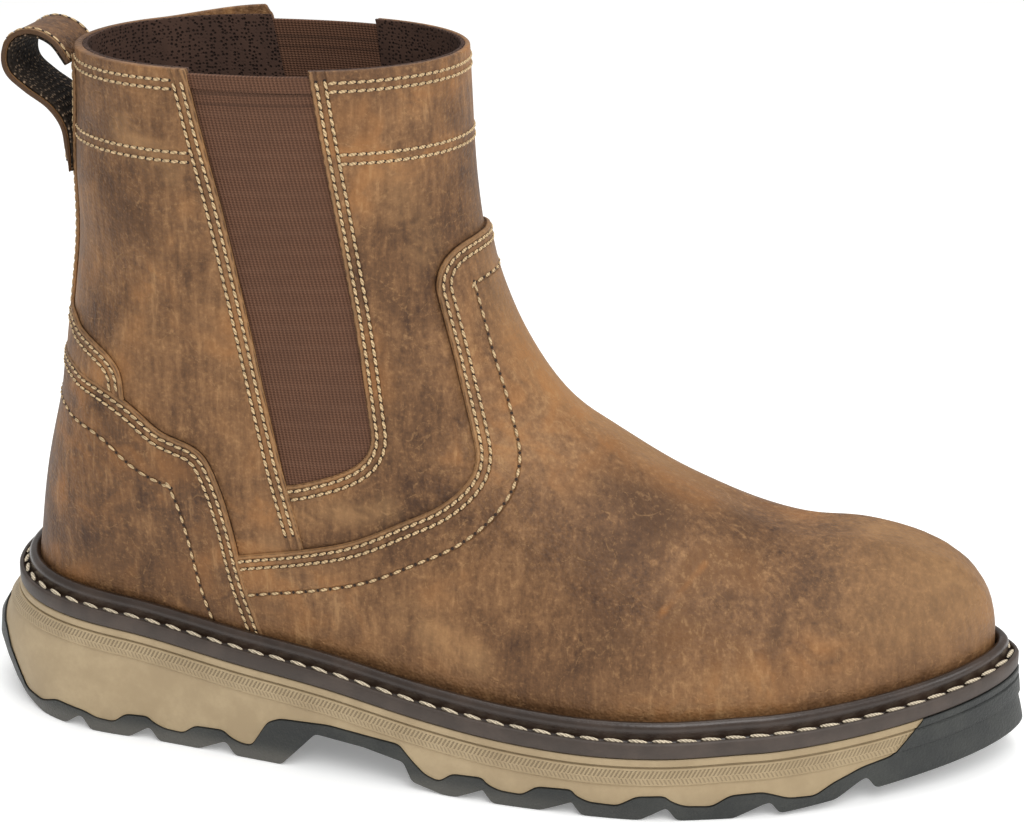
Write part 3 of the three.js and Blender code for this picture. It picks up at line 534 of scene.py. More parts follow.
def panel(name, outline, low, high, material, spacing=1.9, edge_round=0.5, stitched=None):
    """A closed sheet laid on the form inside a chart outline, with softly rounded edges."""
    loop = chart_mm(np.asarray(outline))
    loop = every(np.vstack([loop, loop[:1]]), spacing * 0.62)[:-1]
    turn = np.sum(loop[:, 0] * np.roll(loop[:, 1], -1) - np.roll(loop[:, 0], -1) * loop[:, 1])
    loop = loop if turn > 0 else loop[::-1]
    rim = drawn_in(loop, edge_round)
    low_corner, high_corner = loop.min(0), loop.max(0)
    rows = np.arange(low_corner[1], high_corner[1], spacing * 0.866)
    grid = []
    for i, y in enumerate(rows):
        across = np.arange(low_corner[0] + (i % 2) * spacing / 2, high_corner[0], spacing)
        grid.append(np.column_stack([across, np.full(len(across), y)]))
    grid = np.vstack(grid)
    grid = grid[inside(grid, drawn_in(loop, edge_round + spacing * 0.55))]
    given = [Vector(p) for p in np.vstack([rim, grid])]
    made = delaunay_2d_cdt(given, [], [list(range(len(rim)))], 1, 1e-6)
    flat = np.array([tuple(p) for p in made[0]])
    index = {source: n for n, sources in enumerate(made[3]) for source in sources}
    top = np.array([list(f) for f in made[2]])
    a, b, c = (flat[top[:, k]] for k in range(3))
    area = (b - a)[:, 0] * (c - a)[:, 1] - (b - a)[:, 1] * (c - a)[:, 0]
    top = np.where((area < 0)[:, None], top[:, ::-1], top)
    count, ring = len(flat), len(loop)
    edge = [index[n] for n in range(ring)]
    between = (loop + rim) / 2
    chart = np.vstack([flat, between, loop, loop, flat])
    thick = min(edge_round, (high - low) * 0.6)
    out = np.concatenate([
        np.full(count, high), np.full(ring, high - 0.18 * thick), np.full(ring, high - thick),
        np.full(ring, low), np.full(count, low),
    ])
    points = form.at(from_chart_mm(chart), out)
    rings = [edge, *(list(range(count + k * ring, count + (k + 1) * ring)) for k in range(3))]
    rings.append([count + 3 * ring + n for n in edge])
    faces = [tuple(f) for f in top] + [tuple(f[::-1] + count + 3 * ring) for f in top]
    for upper, lower in zip(rings, rings[1:]):
        faces += [
            (upper[n], lower[n], lower[(n + 1) % ring], upper[(n + 1) % ring]) for n in range(ring)
        ]
    attributes = {}
    if stitched is not None:
        line = np.vstack([form.at(part, high) for part in stitched])
        attributes["edge"] = nearest(points, line)
    return face_out(add_mesh(name, points, faces, material, points[:, [0, 2]], attributes))


class Wire:
    """A socket of a material's nodes. Sums on it add Math nodes."""

    def __init__(self, finish, socket):
        self.finish, self.socket = finish, socket

    def _math(self, operation, *values):
        return self.finish.node("ShaderNodeMath", {"operation": operation}, *values)

    def __add__(self, other):
        return self._math("ADD", self, other)

    def __sub__(self, other):
        return self._math("SUBTRACT", self, other)

    def __rsub__(self, other):
        return self._math("SUBTRACT", other, self)

    def __mul__(self, other):
        return self._math("MULTIPLY", self, other)

    __radd__ = __add__
    __rmul__ = __mul__

    def __abs__(self):
        return self._math("ABSOLUTE", self)

    def sine(self):
        return self._math("SINE", self)

    def larger(self, other):
        return self._math("MAXIMUM", self, other)

    def between(self, low, high):
        """From 0 at low to 1 at high, softly."""
        if low > high:
            return 1 - self.between(high, low)
        settings = {"interpolation_type": "SMOOTHSTEP"}
        return self.finish.node("ShaderNodeMapRange", settings, self, low, high, 0.0, 1.0)


class Finish:
    """One material and its nodes."""

    def __init__(self, name, **constants):
        self.material = bpy.data.materials.new(name)
        self.material.use_nodes = True
        self.tree = self.material.node_tree
        self.shader = self.tree.nodes["Principled BSDF"]
        for key, value in constants.items():
            self.shader.inputs[key.replace("_", " ")].default_value = value
        place = self.node("ShaderNodeTexCoord", {}, out="Object")
        place = self.vector("SUBTRACT", place, tuple(ORIGIN * MM))
        self.spot = self.vector("SCALE", place, scale=1 / MM)
        parts = [self.node("ShaderNodeSeparateXYZ", {}, self.spot, out=axis) for axis in "XYZ"]
        self.x, self.y, self.z = parts

    def node(self, kind, settings, *values, out=0, **named):
        made = self.tree.nodes.new(kind)
        for key, value in settings.items():
            setattr(made, key, value)
        sockets = [socket for socket in made.inputs if socket.enabled]
        pairs = list(zip(sockets, values))
        pairs += [(made.inputs[key.replace("_", " ")], value) for key, value in named.items()]
        for socket, value in pairs:
            if isinstance(value, Wire):
                self.tree.links.new(value.socket, socket)
            elif value is not None:
                socket.default_value = value
        if isinstance(out, str):
            return Wire(self, made.outputs[out])
        return Wire(self, [socket for socket in made.outputs if socket.enabled][out])

    def vector(self, operation, *values, out=0, scale=None):
        named = {} if scale is None else {"Scale": scale}
        return self.node("ShaderNodeVectorMath", {"operation": operation}, *values, out=out, **named)

    def noise(self, size, seed=0.0, detail=3.0, roughness=0.55, distortion=0.0, at=None):
        place = self.vector("ADD", at or self.spot, (seed * 71.0, seed * -37.0, seed * 53.0))
        return self.node(
            "ShaderNodeTexNoise", {}, out="Fac", Vector=place, Scale=1 / size, Detail=detail,
            Roughness=roughness, Distortion=distortion,
        )

    def cells(self, size, feature="F1", at=None, randomness=1.0):
        return self.node(
            "ShaderNodeTexVoronoi", {"feature": feature}, out="Distance", Vector=at or self.spot,
            Scale=1 / size, Randomness=randomness,
        )

    def blend(self, share, a, b):
        a, b = (c if isinstance(c, Wire) else (*c, 1.0) for c in (a, b))
        return self.node("ShaderNodeMix", {"data_type": "RGBA"}, share, a, b)

    def ramp(self, value, stops):
        made = self.node("ShaderNodeValToRGB", {}, value, out="Color")
        ramp = made.socket.node.color_ramp
        while len(ramp.elements) < len(stops):
            ramp.elements.new(0.5)
        for element, (place, colour) in zip(ramp.elements, stops):
            element.position = place
            element.color = (*colour, 1.0)
        return made

    def attribute(self, name):
        return self.node("ShaderNodeAttribute", {"attribute_name": name}, out="Fac")

    def run(self):
        """The two lengths of the piece's own map, in mm."""
        flat = self.node("ShaderNodeUVMap", {"uv_map": "run"}, out="UV")
        made = self.vector("SCALE", flat, scale=1 / MM)
        return [self.node("ShaderNodeSeparateXYZ", {}, made, out=axis) for axis in "XY"]

    def stroke(self, start, end, reach):
        """1 along a short stroke on the boot, fading out over its reach."""
        start, way = np.array(start, float), np.array(end, float) - np.array(start, float) + 1e-3
        gap = self.vector("SUBTRACT", self.spot, tuple(start))
        along = self.vector("DOT_PRODUCT", gap, tuple(way / (way @ way)), out="Value")
        along = self.node("ShaderNodeClamp", {}, along, 0.0, 1.0)
        foot_point = self.vector("SCALE", tuple(way), scale=along)
        length = self.vector("LENGTH", self.vector("SUBTRACT", gap, foot_point), out="Value")
        return length.between(reach, 0)

    def relief(self, height, depth=1.0):
        """Raises the surface by a height in mm times depth."""
        named = {"Strength": 1.0, "Distance": depth * MM, "Height": height}
        return self.node("ShaderNodeBump", {}, out="Normal", **named)

    def wear(self, colour=None, rough=None, normal=None):
        for key, value in (("Base Color", colour), ("Roughness", rough), ("Normal", normal)):
            if isinstance(value, Wire):
                self.tree.links.new(value.socket, self.shader.inputs[key])
            elif value is not None:
                self.shader.inputs[key].default_value = value
        return self.material


# Colours of the leather, from its shaded hollows to where oil has been pulled away. TAN also serves for the
# painted highlights on the instep ridge and the toe top.
DARK = (0.06, 0.028, 0.013)
BROWN = (0.132, 0.064, 0.027)
MIDDLE = (0.21, 0.106, 0.045)
TAN = (0.35, 0.196, 0.085)
ORANGE = (0.3, 0.125, 0.036)
EDGE_DARK = (0.05, 0.024, 0.011)
CREAM = (0.66, 0.47, 0.26)
PALE_THREAD = (0.8, 0.68, 0.5)

# Marks of wear seen on the outer side and the toe: start, end, reach in mm, colour and strength
MARKS = [
    ((194, -27, 83), (201, -28, 77), 9, DARK, 0.6),
    ((216, -33, 67), (206, -45, 57), 1.7, ORANGE, 0.6), ((206, -45, 57), (185, -54, 30), 1.9, ORANGE, 0.6),
    ((238, -36, 53), (236, -42, 46), 4, DARK, 0.55), ((243, -16, 66), (240, -30, 59), 5, DARK, 0.45),
    ((133, -36, 97), (147, -31, 98.5), 0.6, TAN, 0.8), ((128, -37, 118), (131, -37, 88), 0.7, TAN, 0.4),
    ((47, -34, 166), (58, -38, 158), 10, DARK, 0.6), ((52, -36, 186), (66, -39, 176), 9, TAN, 0.45),
    ((131, -51, 52), (153, -53, 40), 9, TAN, 0.6), ((150, -5, 130), (182, -14, 98), 10, ORANGE, 0.5),
    ((186, -16, 95), (214, -13, 79), 10, ORANGE, 0.45), ((30, -33, 92), (66, -38, 88), 9, ORANGE, 0.45),
    ((28, -32, 60), (60, -38, 56), 10, DARK, 0.3), ((120, -36, 128), (122, -37, 112), 9, ORANGE, 0.5),
    ((262, 2, 65), (284, -6, 55), 15, TAN, 0.45), ((246, -42, 46), (268, -38, 44), 10, ORANGE, 0.5),
    ((172, -44, 70), (190, -40, 70), 12, DARK, 0.35), ((100, -41, 76), (126, -42, 80), 7, TAN, 0.45),
    ((92, -42, 66), (96, -42, 60), 6, TAN, 0.3), ((126, -28, 172), (134, -22, 150), 10, TAN, 0.3),
]


def leather(name, rows=(), tone=0.0):
    """Oiled leather that has paled where it bends, with painted highlights on the instep ridge and the toe
    top, and grooves under the rows inside its edge that are painted darker as shade.
    """
    f = Finish(name, Specular_IOR_Level=0.24)
    cloud = f.noise(46, 1.0, 2.0, distortion=0.6)
    patch = f.noise(15, 2.0, 3.0, 0.6, distortion=0.9)
    fine = f.noise(1.5, 3.0, 3.0, 0.72)
    streaks = f.vector("MULTIPLY", f.spot, (1.0, 1.0, 0.16))
    streak = f.noise(2.2, 6.0, 3.0, 0.65, at=streaks)
    value = cloud * 0.36 + patch * 0.2 + fine * 0.2 + streak * 0.24 + tone
    colour = f.ramp(value, [(0.37, DARK), (0.455, BROWN), (0.53, MIDDLE), (0.64, TAN)])
    colour = f.blend(cloud.between(0.46, 0.62) * patch.between(0.38, 0.62) * 0.5, colour, ORANGE)
    seat = FOREFOOT_STACK + 19 * f.x.between(165, 0) + TOE_RISE * f.x.between(235, 305)
    low = (f.z - seat).between(22, 2)
    colour = f.blend(low * 0.3, colour, BROWN)
    # The toe top is painted lighter: partly its paler leather and partly a painted highlight.
    toe = f.x.between(236, 280) * f.z.between(30, 50)
    colour = f.blend(toe * 0.34, colour, TAN)
    shaded = f.x.between(170, 196) * f.x.between(246, 222) * f.z.between(34, 48)
    shaded = shaded * patch.between(0.36, 0.56)
    colour = f.blend(shaded * 0.55, colour, DARK)
    # Painted highlight along the instep ridge, where the light from above falls on it.
    ridge_highlight = abs(f.y).between(20, 4) * f.x.between(138, 160) * f.x.between(232, 196)
    colour = f.blend(ridge_highlight * 0.5, colour, TAN)
    for start, end, reach, paint, strength in MARKS:
        ragged = f.stroke(start, end, reach) * patch.between(0.3, 0.62)
        colour = f.blend(ragged * strength, colour, paint)
    scuff = streak.between(0.58, 0.7) * cloud.between(0.42, 0.6)
    colour = f.blend(scuff * 0.4, colour, TAN)
    colour = f.blend(fine.between(0.56, 0.7) * 0.25, colour, TAN)
    drift = f.node("ShaderNodeTexNoise", {}, out="Color", Vector=f.spot, Scale=0.07, Detail=2.0)
    warped = f.vector("ADD", f.spot, f.vector("SCALE", drift, scale=30.0))
    crack = f.cells(24, "DISTANCE_TO_EDGE", at=warped).between(0.016, 0.002) * fine.between(0.42, 0.58)
    colour = f.blend(crack * 0.3, colour, TAN)
    grain = f.cells(0.9)
    height = grain * -0.17 + f.noise(6.5, 9.0, 3.0, 0.62) * 0.6 + patch * 0.4 - crack * 0.1
    if rows:
        edge = f.attribute("edge")
        groove = None
        for place in rows:
            line = abs(edge - place).between(0.8, 0.1)
            groove = line if groove is None else groove.larger(line)
        height = height - groove * 0.4
        # The grooves are also painted darker: painted shade in them.
        colour = f.blend(groove * 0.35, colour, DARK)
        colour = f.blend(edge.between(1.4, 0.6) * 0.4, colour, TAN)
        colour = f.blend(edge.between(0.6, 0.15) * 0.85, colour, EDGE_DARK)
    rough = 0.4 + patch * 0.2 + fine * 0.12
    return f.wear(colour, rough, f.relief(height))


def thread(name, paint):
    f = Finish(name, Specular_IOR_Level=0.3)
    twist = ((f.x * 0.8 + f.y * 0.8 + f.z) * (2 * math.pi / 1.15)).sine()
    ply = twist * 0.3 + f.noise(0.5, 1.0, 1.0)
    # The twist's low parts are painted darker: painted shade between the plies.
    colour = f.blend(ply.between(0.25, 0.65), tuple(0.5 * c for c in paint), paint)
    colour = f.blend(f.noise(14, 3.0).between(0.42, 0.62) * 0.35, colour, tuple(0.55 * c for c in paint))
    return f.wear(colour, 0.75, f.relief(ply, 0.25))


# Dark dots between the stitches: painted shade in the needle holes.
def needle_hole_shade():
    f = Finish("needle_hole_shade")
    return f.wear(f.blend(f.noise(0.6), (0.012, 0.006, 0.003), (0.03, 0.015, 0.008)), 0.9)


def elastic():
    """Ribbed elastic web: fine upright ribs crossed by finer weft."""
    f = Finish("elastic_web", Specular_IOR_Level=0.2)
    across, up = f.run()
    rib = ((across + up * 0.2) * (2 * math.pi / 1.05)).sine()
    weft = (up * (2 * math.pi / 0.72) + rib * 0.6).sine()
    weave = rib * 0.28 + weft * 0.22 + 0.5
    wide = f.noise(9, 2.0)
    # The weave's low parts are painted darker: painted shade between the ribs and the weft.
    colour = f.blend(weave, (0.055, 0.025, 0.014), (0.16, 0.077, 0.045))
    stripe = (up * (2 * math.pi / 5.6)).sine().between(0.3, 1)
    colour = f.blend(stripe * 0.08, colour, (0.2, 0.11, 0.07))
    band = abs(f.z - 197.5).between(0.9, 0.3) + abs(f.z - 194.5).between(0.6, 0.2)
    colour = f.blend(band * 0.45, colour, (0.04, 0.02, 0.012))
    colour = f.blend(wide.between(0.4, 0.65) * 0.2, colour, (0.075, 0.038, 0.024))
    return f.wear(colour, 0.85, f.relief(weave, 0.28))


def mesh_lining():
    f = Finish("mesh_lining", Specular_IOR_Level=0.2)
    holes = f.cells(1.1, "F1", randomness=0.6)
    colour = f.blend(holes.between(0.2, 0.5), (0.02, 0.01, 0.007), (0.075, 0.041, 0.029))
    colour = f.blend(f.noise(12, 3.0).between(0.4, 0.65) * 0.3, colour, (0.03, 0.017, 0.013))
    return f.wear(colour, 0.9, f.relief(holes.between(0.1, 0.5), 0.35))


def rubber(name, dark, light, rough, pebble):
    f = Finish(name, Specular_IOR_Level=0.4)
    dust = f.noise(16, 2.0, 5.0, 0.65)
    colour = f.blend(dust.between(0.35, 0.7), dark, light)
    colour = f.blend(f.noise(1.1, 5.0, 3.0).between(0.45, 0.75) * 0.3, colour, dark)
    height = f.noise(0.8, 3.0, 3.0) * pebble
    return f, colour, rough + dust * 0.14, height


def midsole_rubber():
    """Pale rubber with its two knurled rows below the welt."""
    f, colour, rough, height = rubber(
        "midsole_rubber", (0.33, 0.245, 0.14), (0.41, 0.312, 0.185), 0.5, 0.05
    )
    run, drop = f.run()
    slant = ((run + drop * 0.45) * (2 * math.pi / 1.2)).sine()
    back = ((run - drop * 0.5) * (2 * math.pi / 1.2)).sine()
    upper = drop.between(3.2, 3.5) * drop.between(5.6, 5.3)
    lower = drop.between(5.8, 6.0) * drop.between(7.5, 7.2)
    knurl = slant.between(0.1, 0.7) * upper + back.between(0.3, 0.9) * lower * 0.6
    line = abs(drop - 2.5).between(0.3, 0.05)
    height = height - knurl * 0.35 - line * 0.3
    colour = f.blend(knurl * 0.62 + line * 0.5, colour, (0.16, 0.115, 0.058))
    colour = f.blend(f.x.between(150, 290) * 0.45, colour, (0.26, 0.19, 0.1))
    grime = f.z.between(13, 3) * f.noise(9, 7.0, 5.0).between(0.4, 0.7)
    colour = f.blend(grime * 0.25, colour, (0.2, 0.15, 0.09))
    return f.wear(colour, rough, f.relief(height))


def outsole_rubber():
    f, colour, rough, height = rubber(
        "outsole_rubber", (0.018, 0.02, 0.019), (0.036, 0.038, 0.034), 0.46, 0.42
    )
    lowest = f.z.between(7, 1)
    colour = f.blend(lowest * f.x.between(230, 120) * 0.6, colour, (0.13, 0.122, 0.105))
    return f.wear(colour, rough, f.relief(height))


def welt_finish(name, dark, light, rough):
    f = Finish(name, Specular_IOR_Level=0.5)
    spread = f.noise(10, 2.0, 4.0)
    colour = f.blend(spread.between(0.35, 0.7), dark, light)
    return f.wear(colour, rough + spread * 0.12, f.relief(f.noise(0.9, 4.0, 4.0), 0.08))


def woven_tape():
    f = Finish("woven_tape", Specular_IOR_Level=0.2)
    along, across = f.run()
    chevron = (abs(((across * (math.pi / 3)).sine())) * 2.2 + along * (2 * math.pi / 2.0)).sine()
    knots = f.cells(1.3, randomness=0.5).between(0.5, 0.2)
    colour = f.blend((chevron * 0.5 + 0.5) * knots, (0.02, 0.014, 0.01), (0.34, 0.24, 0.16))
    return f.wear(colour, 0.85, f.relief(chevron * 0.6 + knots, 0.3))


def insole_felt():
    f = Finish("insole_felt", Specular_IOR_Level=0.2)
    nap = f.noise(1.2, 1.0, 5.0, 0.7)
    colour = f.blend(nap, (0.02, 0.014, 0.012), (0.07, 0.05, 0.04))
    return f.wear(colour, 0.92, f.relief(nap, 0.3))


def input_of(modifier, name, value):
    for item in modifier.node_group.interface.items_tree:
        if item.item_type == "SOCKET" and item.in_out == "INPUT" and item.name == name:
            modifier[item.identifier] = value


def stitch_tree():
    """Lays one rounded stitch at each point, turned along the row and flat on the leather."""
    tree = bpy.data.node_groups.new("rows_of_stitches", "GeometryNodeTree")
    tree.interface.new_socket("Geometry", in_out="INPUT", socket_type="NodeSocketGeometry")
    for name in ("Length", "Width", "Height"):
        tree.interface.new_socket(name, in_out="INPUT", socket_type="NodeSocketFloat")
    tree.interface.new_socket("Material", in_out="INPUT", socket_type="NodeSocketMaterial")
    tree.interface.new_socket("Geometry", in_out="OUTPUT", socket_type="NodeSocketGeometry")

    def node(kind, links=(), **settings):
        made = tree.nodes.new(kind)
        for key, value in settings.items():
            setattr(made, key, value)
        for key, source in dict(links).items():
            tree.links.new(source, made.inputs[key])
        return made

    given = node("NodeGroupInput")
    ball = node("GeometryNodeMeshUVSphere")
    ball.inputs["Segments"].default_value = 8
    ball.inputs["Rings"].default_value = 5
    ball.inputs["Radius"].default_value = 0.5
    size = node("ShaderNodeCombineXYZ", {
        "X": given.outputs["Width"], "Y": given.outputs["Height"], "Z": given.outputs["Length"],
    })
    shaped = node("GeometryNodeTransform", {"Geometry": ball.outputs["Mesh"], "Scale": size.outputs[0]})
    axes = {}
    for name in ("along", "out"):
        found = node("GeometryNodeInputNamedAttribute", data_type="FLOAT_VECTOR")
        found.inputs["Name"].default_value = name
        axes[name] = next(socket for socket in found.outputs if socket.enabled)
    turn = node("FunctionNodeAxesToRotation", primary_axis="Z", secondary_axis="Y")
    tree.links.new(axes["along"], turn.inputs[0])
    tree.links.new(axes["out"], turn.inputs[1])
    laid = node("GeometryNodeInstanceOnPoints", {
        "Points": given.outputs["Geometry"], "Instance": shaped.outputs["Geometry"],
        "Rotation": turn.outputs[0],
    })
    real = node("GeometryNodeRealizeInstances", {"Geometry": laid.outputs["Instances"]})
    soft = node("GeometryNodeSetShadeSmooth", {0: real.outputs[0]})
    made = node("GeometryNodeSetMaterial", {
        "Geometry": soft.outputs[0], "Material": given.outputs["Material"],
    })
    node("NodeGroupOutput", {"Geometry": made.outputs["Geometry"]})
    return tree


class Stitches:
    """Places of stitches, gathered row by row and laid as one piece."""

    tree = None

    def __init__(self):
        self.places, self.along, self.out = [], [], []

    def add(self, places, along, out):
        self.places.append(places)
        self.along.append(along)
        self.out.append(out)

    def lay(self, name, size, material, slot):
        if Stitches.tree is None:
            Stitches.tree = stitch_tree()
        source = add_mesh(name + "_points", np.vstack(self.places), [], None, smooth_faces=False)
        for key, rows in (("along", self.along), ("out", self.out)):
            layer = source.data.attributes.new(key, "FLOAT_VECTOR", "POINT")
            layer.data.foreach_set("vector", np.vstack(rows).astype(np.float32).ravel())
        modifier = source.modifiers.new("rows", "NODES")
        modifier.node_group = Stitches.tree
        for key, value in zip(("Length", "Width", "Height"), size):
            input_of(modifier, key, value * MM)
        input_of(modifier, "Material", material)
        graph = bpy.context.evaluated_depsgraph_get()
        mesh = bpy.data.meshes.new_from_object(source.evaluated_get(graph))
        bpy.data.objects.remove(source)
        mesh.name = name
        piece = bpy.data.objects.new(name, mesh)
        bpy.context.scene.collection.objects.link(piece)
        return finish_piece(piece, slot)


upper_thread, upper_holes, welt_thread = Stitches(), Stitches(), Stitches()

# Stitches: length, width, height, and the lift of thread and hole off the leather
THREAD_SIZE, THREAD_LIFT = (2.5, 0.95, 0.7), 0.1
HOLE_SIZE, HOLE_LIFT = (0.9, 0.95, 0.3), 0.02
WELT_STITCH = (5.9, 1.35, 1.2)
ROW_PITCH, ROW_SLANT = 2.6, 0.16
SINGLE_PITCH, SINGLE_SLANT = 3.9, 0.05


def stitch_row(line, out, pitch=ROW_PITCH, slant=ROW_SLANT):
    """A row of stitches along a chart line, each followed by a dark dot that paints the shade in its needle
    hole.
    """
    run = run_of(form.at(line, out))
    count = max(2, round(run[-1] / pitch))
    for start, gathered, lift in ((0.5, upper_thread, THREAD_LIFT), (1.0, upper_holes, HOLE_LIFT)):
        goal = (np.arange(count) + start) / count * run[-1]
        uv = np.stack([np.interp(goal, run, column) for column in line.T], -1)
        p, n = form.at(uv, out + lift), form.way_out(uv)
        t = unit(np.gradient(p, axis=0))
        gathered.add(p, t * math.cos(slant) + np.cross(n, t) * math.sin(slant), n)


def inner_rows(line, out, insets, sign):
    for inset in insets:
        stitch_row(moved(line, sign * inset), out)


# Rows of stitches inside a panel's edge
DOUBLE_ROW = (1.7, 4.1)
VAMP_SINGLE_ROW = 12.4
COUNTER_SINGLE_ROW = 14.6
# Level rows round the shaft: height, where they end on the back panel and where they start on the front
LEVEL_ROWS = [(178.2, 72.5, 113.5), (180.8, 72.5, 113.5), (198.4, 68.5, 111.5), (200.8, 68.5, 111.5)]
ROWS_TOP = 202  # the rows beside the gore stop at this height
SEAT_HIDE = -0.012  # how far the leather runs down behind the welt's bead, on the chart


def down_to_seat(line, first, last):
    """Closes a line into an outline by going down to the seat at both its ends."""
    return np.vstack([[first, SEAT_HIDE], line, [last, SEAT_HIDE]])


def seat_place(x, side):
    """Where round the chart a place just above the seat lies."""
    height = seat_height(x) + 2
    point = side_line([(x - 6, height), (x, height), (x + 6, height)], side)
    return point[len(point) // 2, 0]


def clipped(line):
    line = line.copy()
    line[:, 1] = np.clip(line[:, 1], SEAT_HIDE, 1.0)
    return line


def make_vamp():
    edge = joined_over(VAMP_EDGE, 0.5)
    ends = [seat_place(76, side) for side in SIDES]
    vamp = panel(
        "vamp_leather", down_to_seat(edge, *ends), 0.05, VAMP_FACE,
        leather("vamp_pull_up", (*DOUBLE_ROW, VAMP_SINGLE_ROW)),
        spacing=2.0, edge_round=0.6, stitched=[edge],
    )
    finish_piece(vamp, "leather", "vamp")
    seen = edge[10:-10]
    inner_rows(seen, VAMP_FACE, DOUBLE_ROW, -1)
    single = moved(seen, -VAMP_SINGLE_ROW)
    kept = form.at(single)[:, 0] > 83.5
    stitch_row(single[kept], VAMP_FACE, SINGLE_PITCH, SINGLE_SLANT)


def make_counter():
    edge = clipped(joined_over(COUNTER_EDGE, 0))
    # Its leather is toned darker (-0.05): painted shade on the heel's curve, which turns away from the
    # light.
    counter = panel(
        "counter_leather", edge, QUARTER_FACE, COUNTER_FACE,
        leather("counter_pull_up", (*DOUBLE_ROW, COUNTER_SINGLE_ROW), -0.05),
        edge_round=0.6, stitched=[edge[6:-6]],
    )
    finish_piece(counter, "leather", "counter")
    seen = edge[7:-7]
    inner_rows(seen, COUNTER_FACE, DOUBLE_ROW, 1)
    single = moved(seen, COUNTER_SINGLE_ROW)
    kept = form.at(single)[:, 2] > seat_height(form.at(single)[:, 0]) + 1.5
    stitch_row(single[kept], COUNTER_FACE, SINGLE_PITCH, SINGLE_SLANT)


def make_heel_tab():
    edge = clipped(joined_over(HEEL_TAB_EDGE, 0))
    tab = panel(
        "heel_tab_leather", edge, QUARTER_FACE, HEEL_TAB_FACE,
        leather("heel_tab_pull_up", DOUBLE_ROW, 0.015), edge_round=0.6, stitched=[edge[8:-8]],
    )
    finish_piece(tab, "leather", "heel_tab")
    above_counter = form.at(edge)[:, 2] > 108
    for inset in DOUBLE_ROW:
        row = moved(edge[above_counter], inset)
        across = form.at(row)[:, 1]
        for side in SIDES:
            stitch_row(row[(np.sign(across) == side) & (np.abs(across) > 12)], HEEL_TAB_FACE)


QUARTER_FOOT = 104  # where the back panel's front edge meets the seat
COLLAR_POINTS = 90
MEDIAL_RISE = 0.014  # how far the inner side of the back panel stands above the collar, on the chart
MEDIAL_RISE_START = -0.1  # where on the chart it begins to rise


def back_outline(rise):
    """The outline of the back of the shaft, with its front edges on the outer and the inner side."""
    outer, inner = (clipped(side_line(QUARTER_EDGE, side)) for side in SIDES)
    inner[:, 0] -= 1
    ends = [seat_place(QUARTER_FOOT, side) for side in SIDES]
    collar = np.stack([np.linspace(outer[0, 0], inner[0, 0], COLLAR_POINTS), np.ones(COLLAR_POINTS)], -1)
    beyond = (collar[:, 0] - MEDIAL_RISE_START) / (inner[0, 0] - MEDIAL_RISE_START)
    collar[:, 1] += rise * smooth(beyond) * (collar[:, 0] < MEDIAL_RISE_START)
    outline = np.vstack([
        [ends[0], SEAT_HIDE], outer[::-1], collar[1:-1], inner, [ends[1] - 1, SEAT_HIDE],
    ])
    return outline, outer, inner


def make_quarter():
    """The back of the shaft, both sides in one, over the gores and the front panel."""
    outline, outer, inner = back_outline(MEDIAL_RISE)
    quarter = panel(
        "back_leather", outline, LINING_BACK, QUARTER_FACE, leather("back_pull_up", DOUBLE_ROW),
        edge_round=0.45, stitched=[outer, inner],
    )
    finish_piece(quarter, "leather", "upper")
    for line, side in ((outer, LATERAL), (inner, MEDIAL)):
        heights = form.at(line)[:, 2]
        inner_rows(line[(heights > 70) & (heights < ROWS_TOP)], QUARTER_FACE, DOUBLE_ROW, side)
        for height, end, _ in LEVEL_ROWS:
            level = side_line([(29, height), (40, height), (52, height), (end, height)], side)
            beside_stay = np.abs(form.at(level)[:, 1]) > 11.5
            stitch_row(level[beside_stay], QUARTER_FACE)


def make_front():
    """The front of the shaft, and the linings behind both parts of it."""
    outer, inner = (side_line([(88, 60), (89.5, 78), *GORE_WINDOW], side) for side in SIDES)
    ends = [seat_place(88, side) for side in SIDES]
    outer, inner = clipped(outer), clipped(inner)
    collar = np.stack([np.linspace(outer[-1, 0], inner[-1, 0], COLLAR_POINTS), np.ones(COLLAR_POINTS)], -1)
    outline = np.vstack([[ends[0], SEAT_HIDE], outer, collar[1:-1], inner[::-1], [ends[1], SEAT_HIDE]])
    shown = [line[form.at(line)[:, 2] > 82] for line in (outer, inner)]
    front = panel(
        "front_leather", outline, LINING_BACK, 0.0, leather("front_pull_up", DOUBLE_ROW, -0.02),
        edge_round=0.4, stitched=shown,
    )
    finish_piece(front, "leather", "upper")
    lining_mesh = mesh_lining()
    for line, side in zip(shown, SIDES):
        inner_rows(line[form.at(line)[:, 2] < ROWS_TOP], 0.0, DOUBLE_ROW, side)
    for height, _, start in LEVEL_ROWS:
        places = [(start, height), (120, height), (130, height), (160, height)]
        halves = [side_line(places, side) for side in SIDES]
        level = np.vstack([halves[0], halves[1][::-1]])
        stitch_row(from_chart_mm(every(chart_mm(level), 1.0)), 0.0)
    for name, edges, face in (
        ("front_lining", outline, LINING_FACE + 0.15), ("back_lining", back_outline(0)[0], LINING_FACE),
    ):
        lining = panel(name, edges, face, LINING_BACK, lining_mesh, spacing=2.6, edge_round=0.3)
        finish_piece(lining, "leather", "upper")


HEM_DEPTH = 0.02  # of the chart's height
SEAT_BELOW_GORE = 45


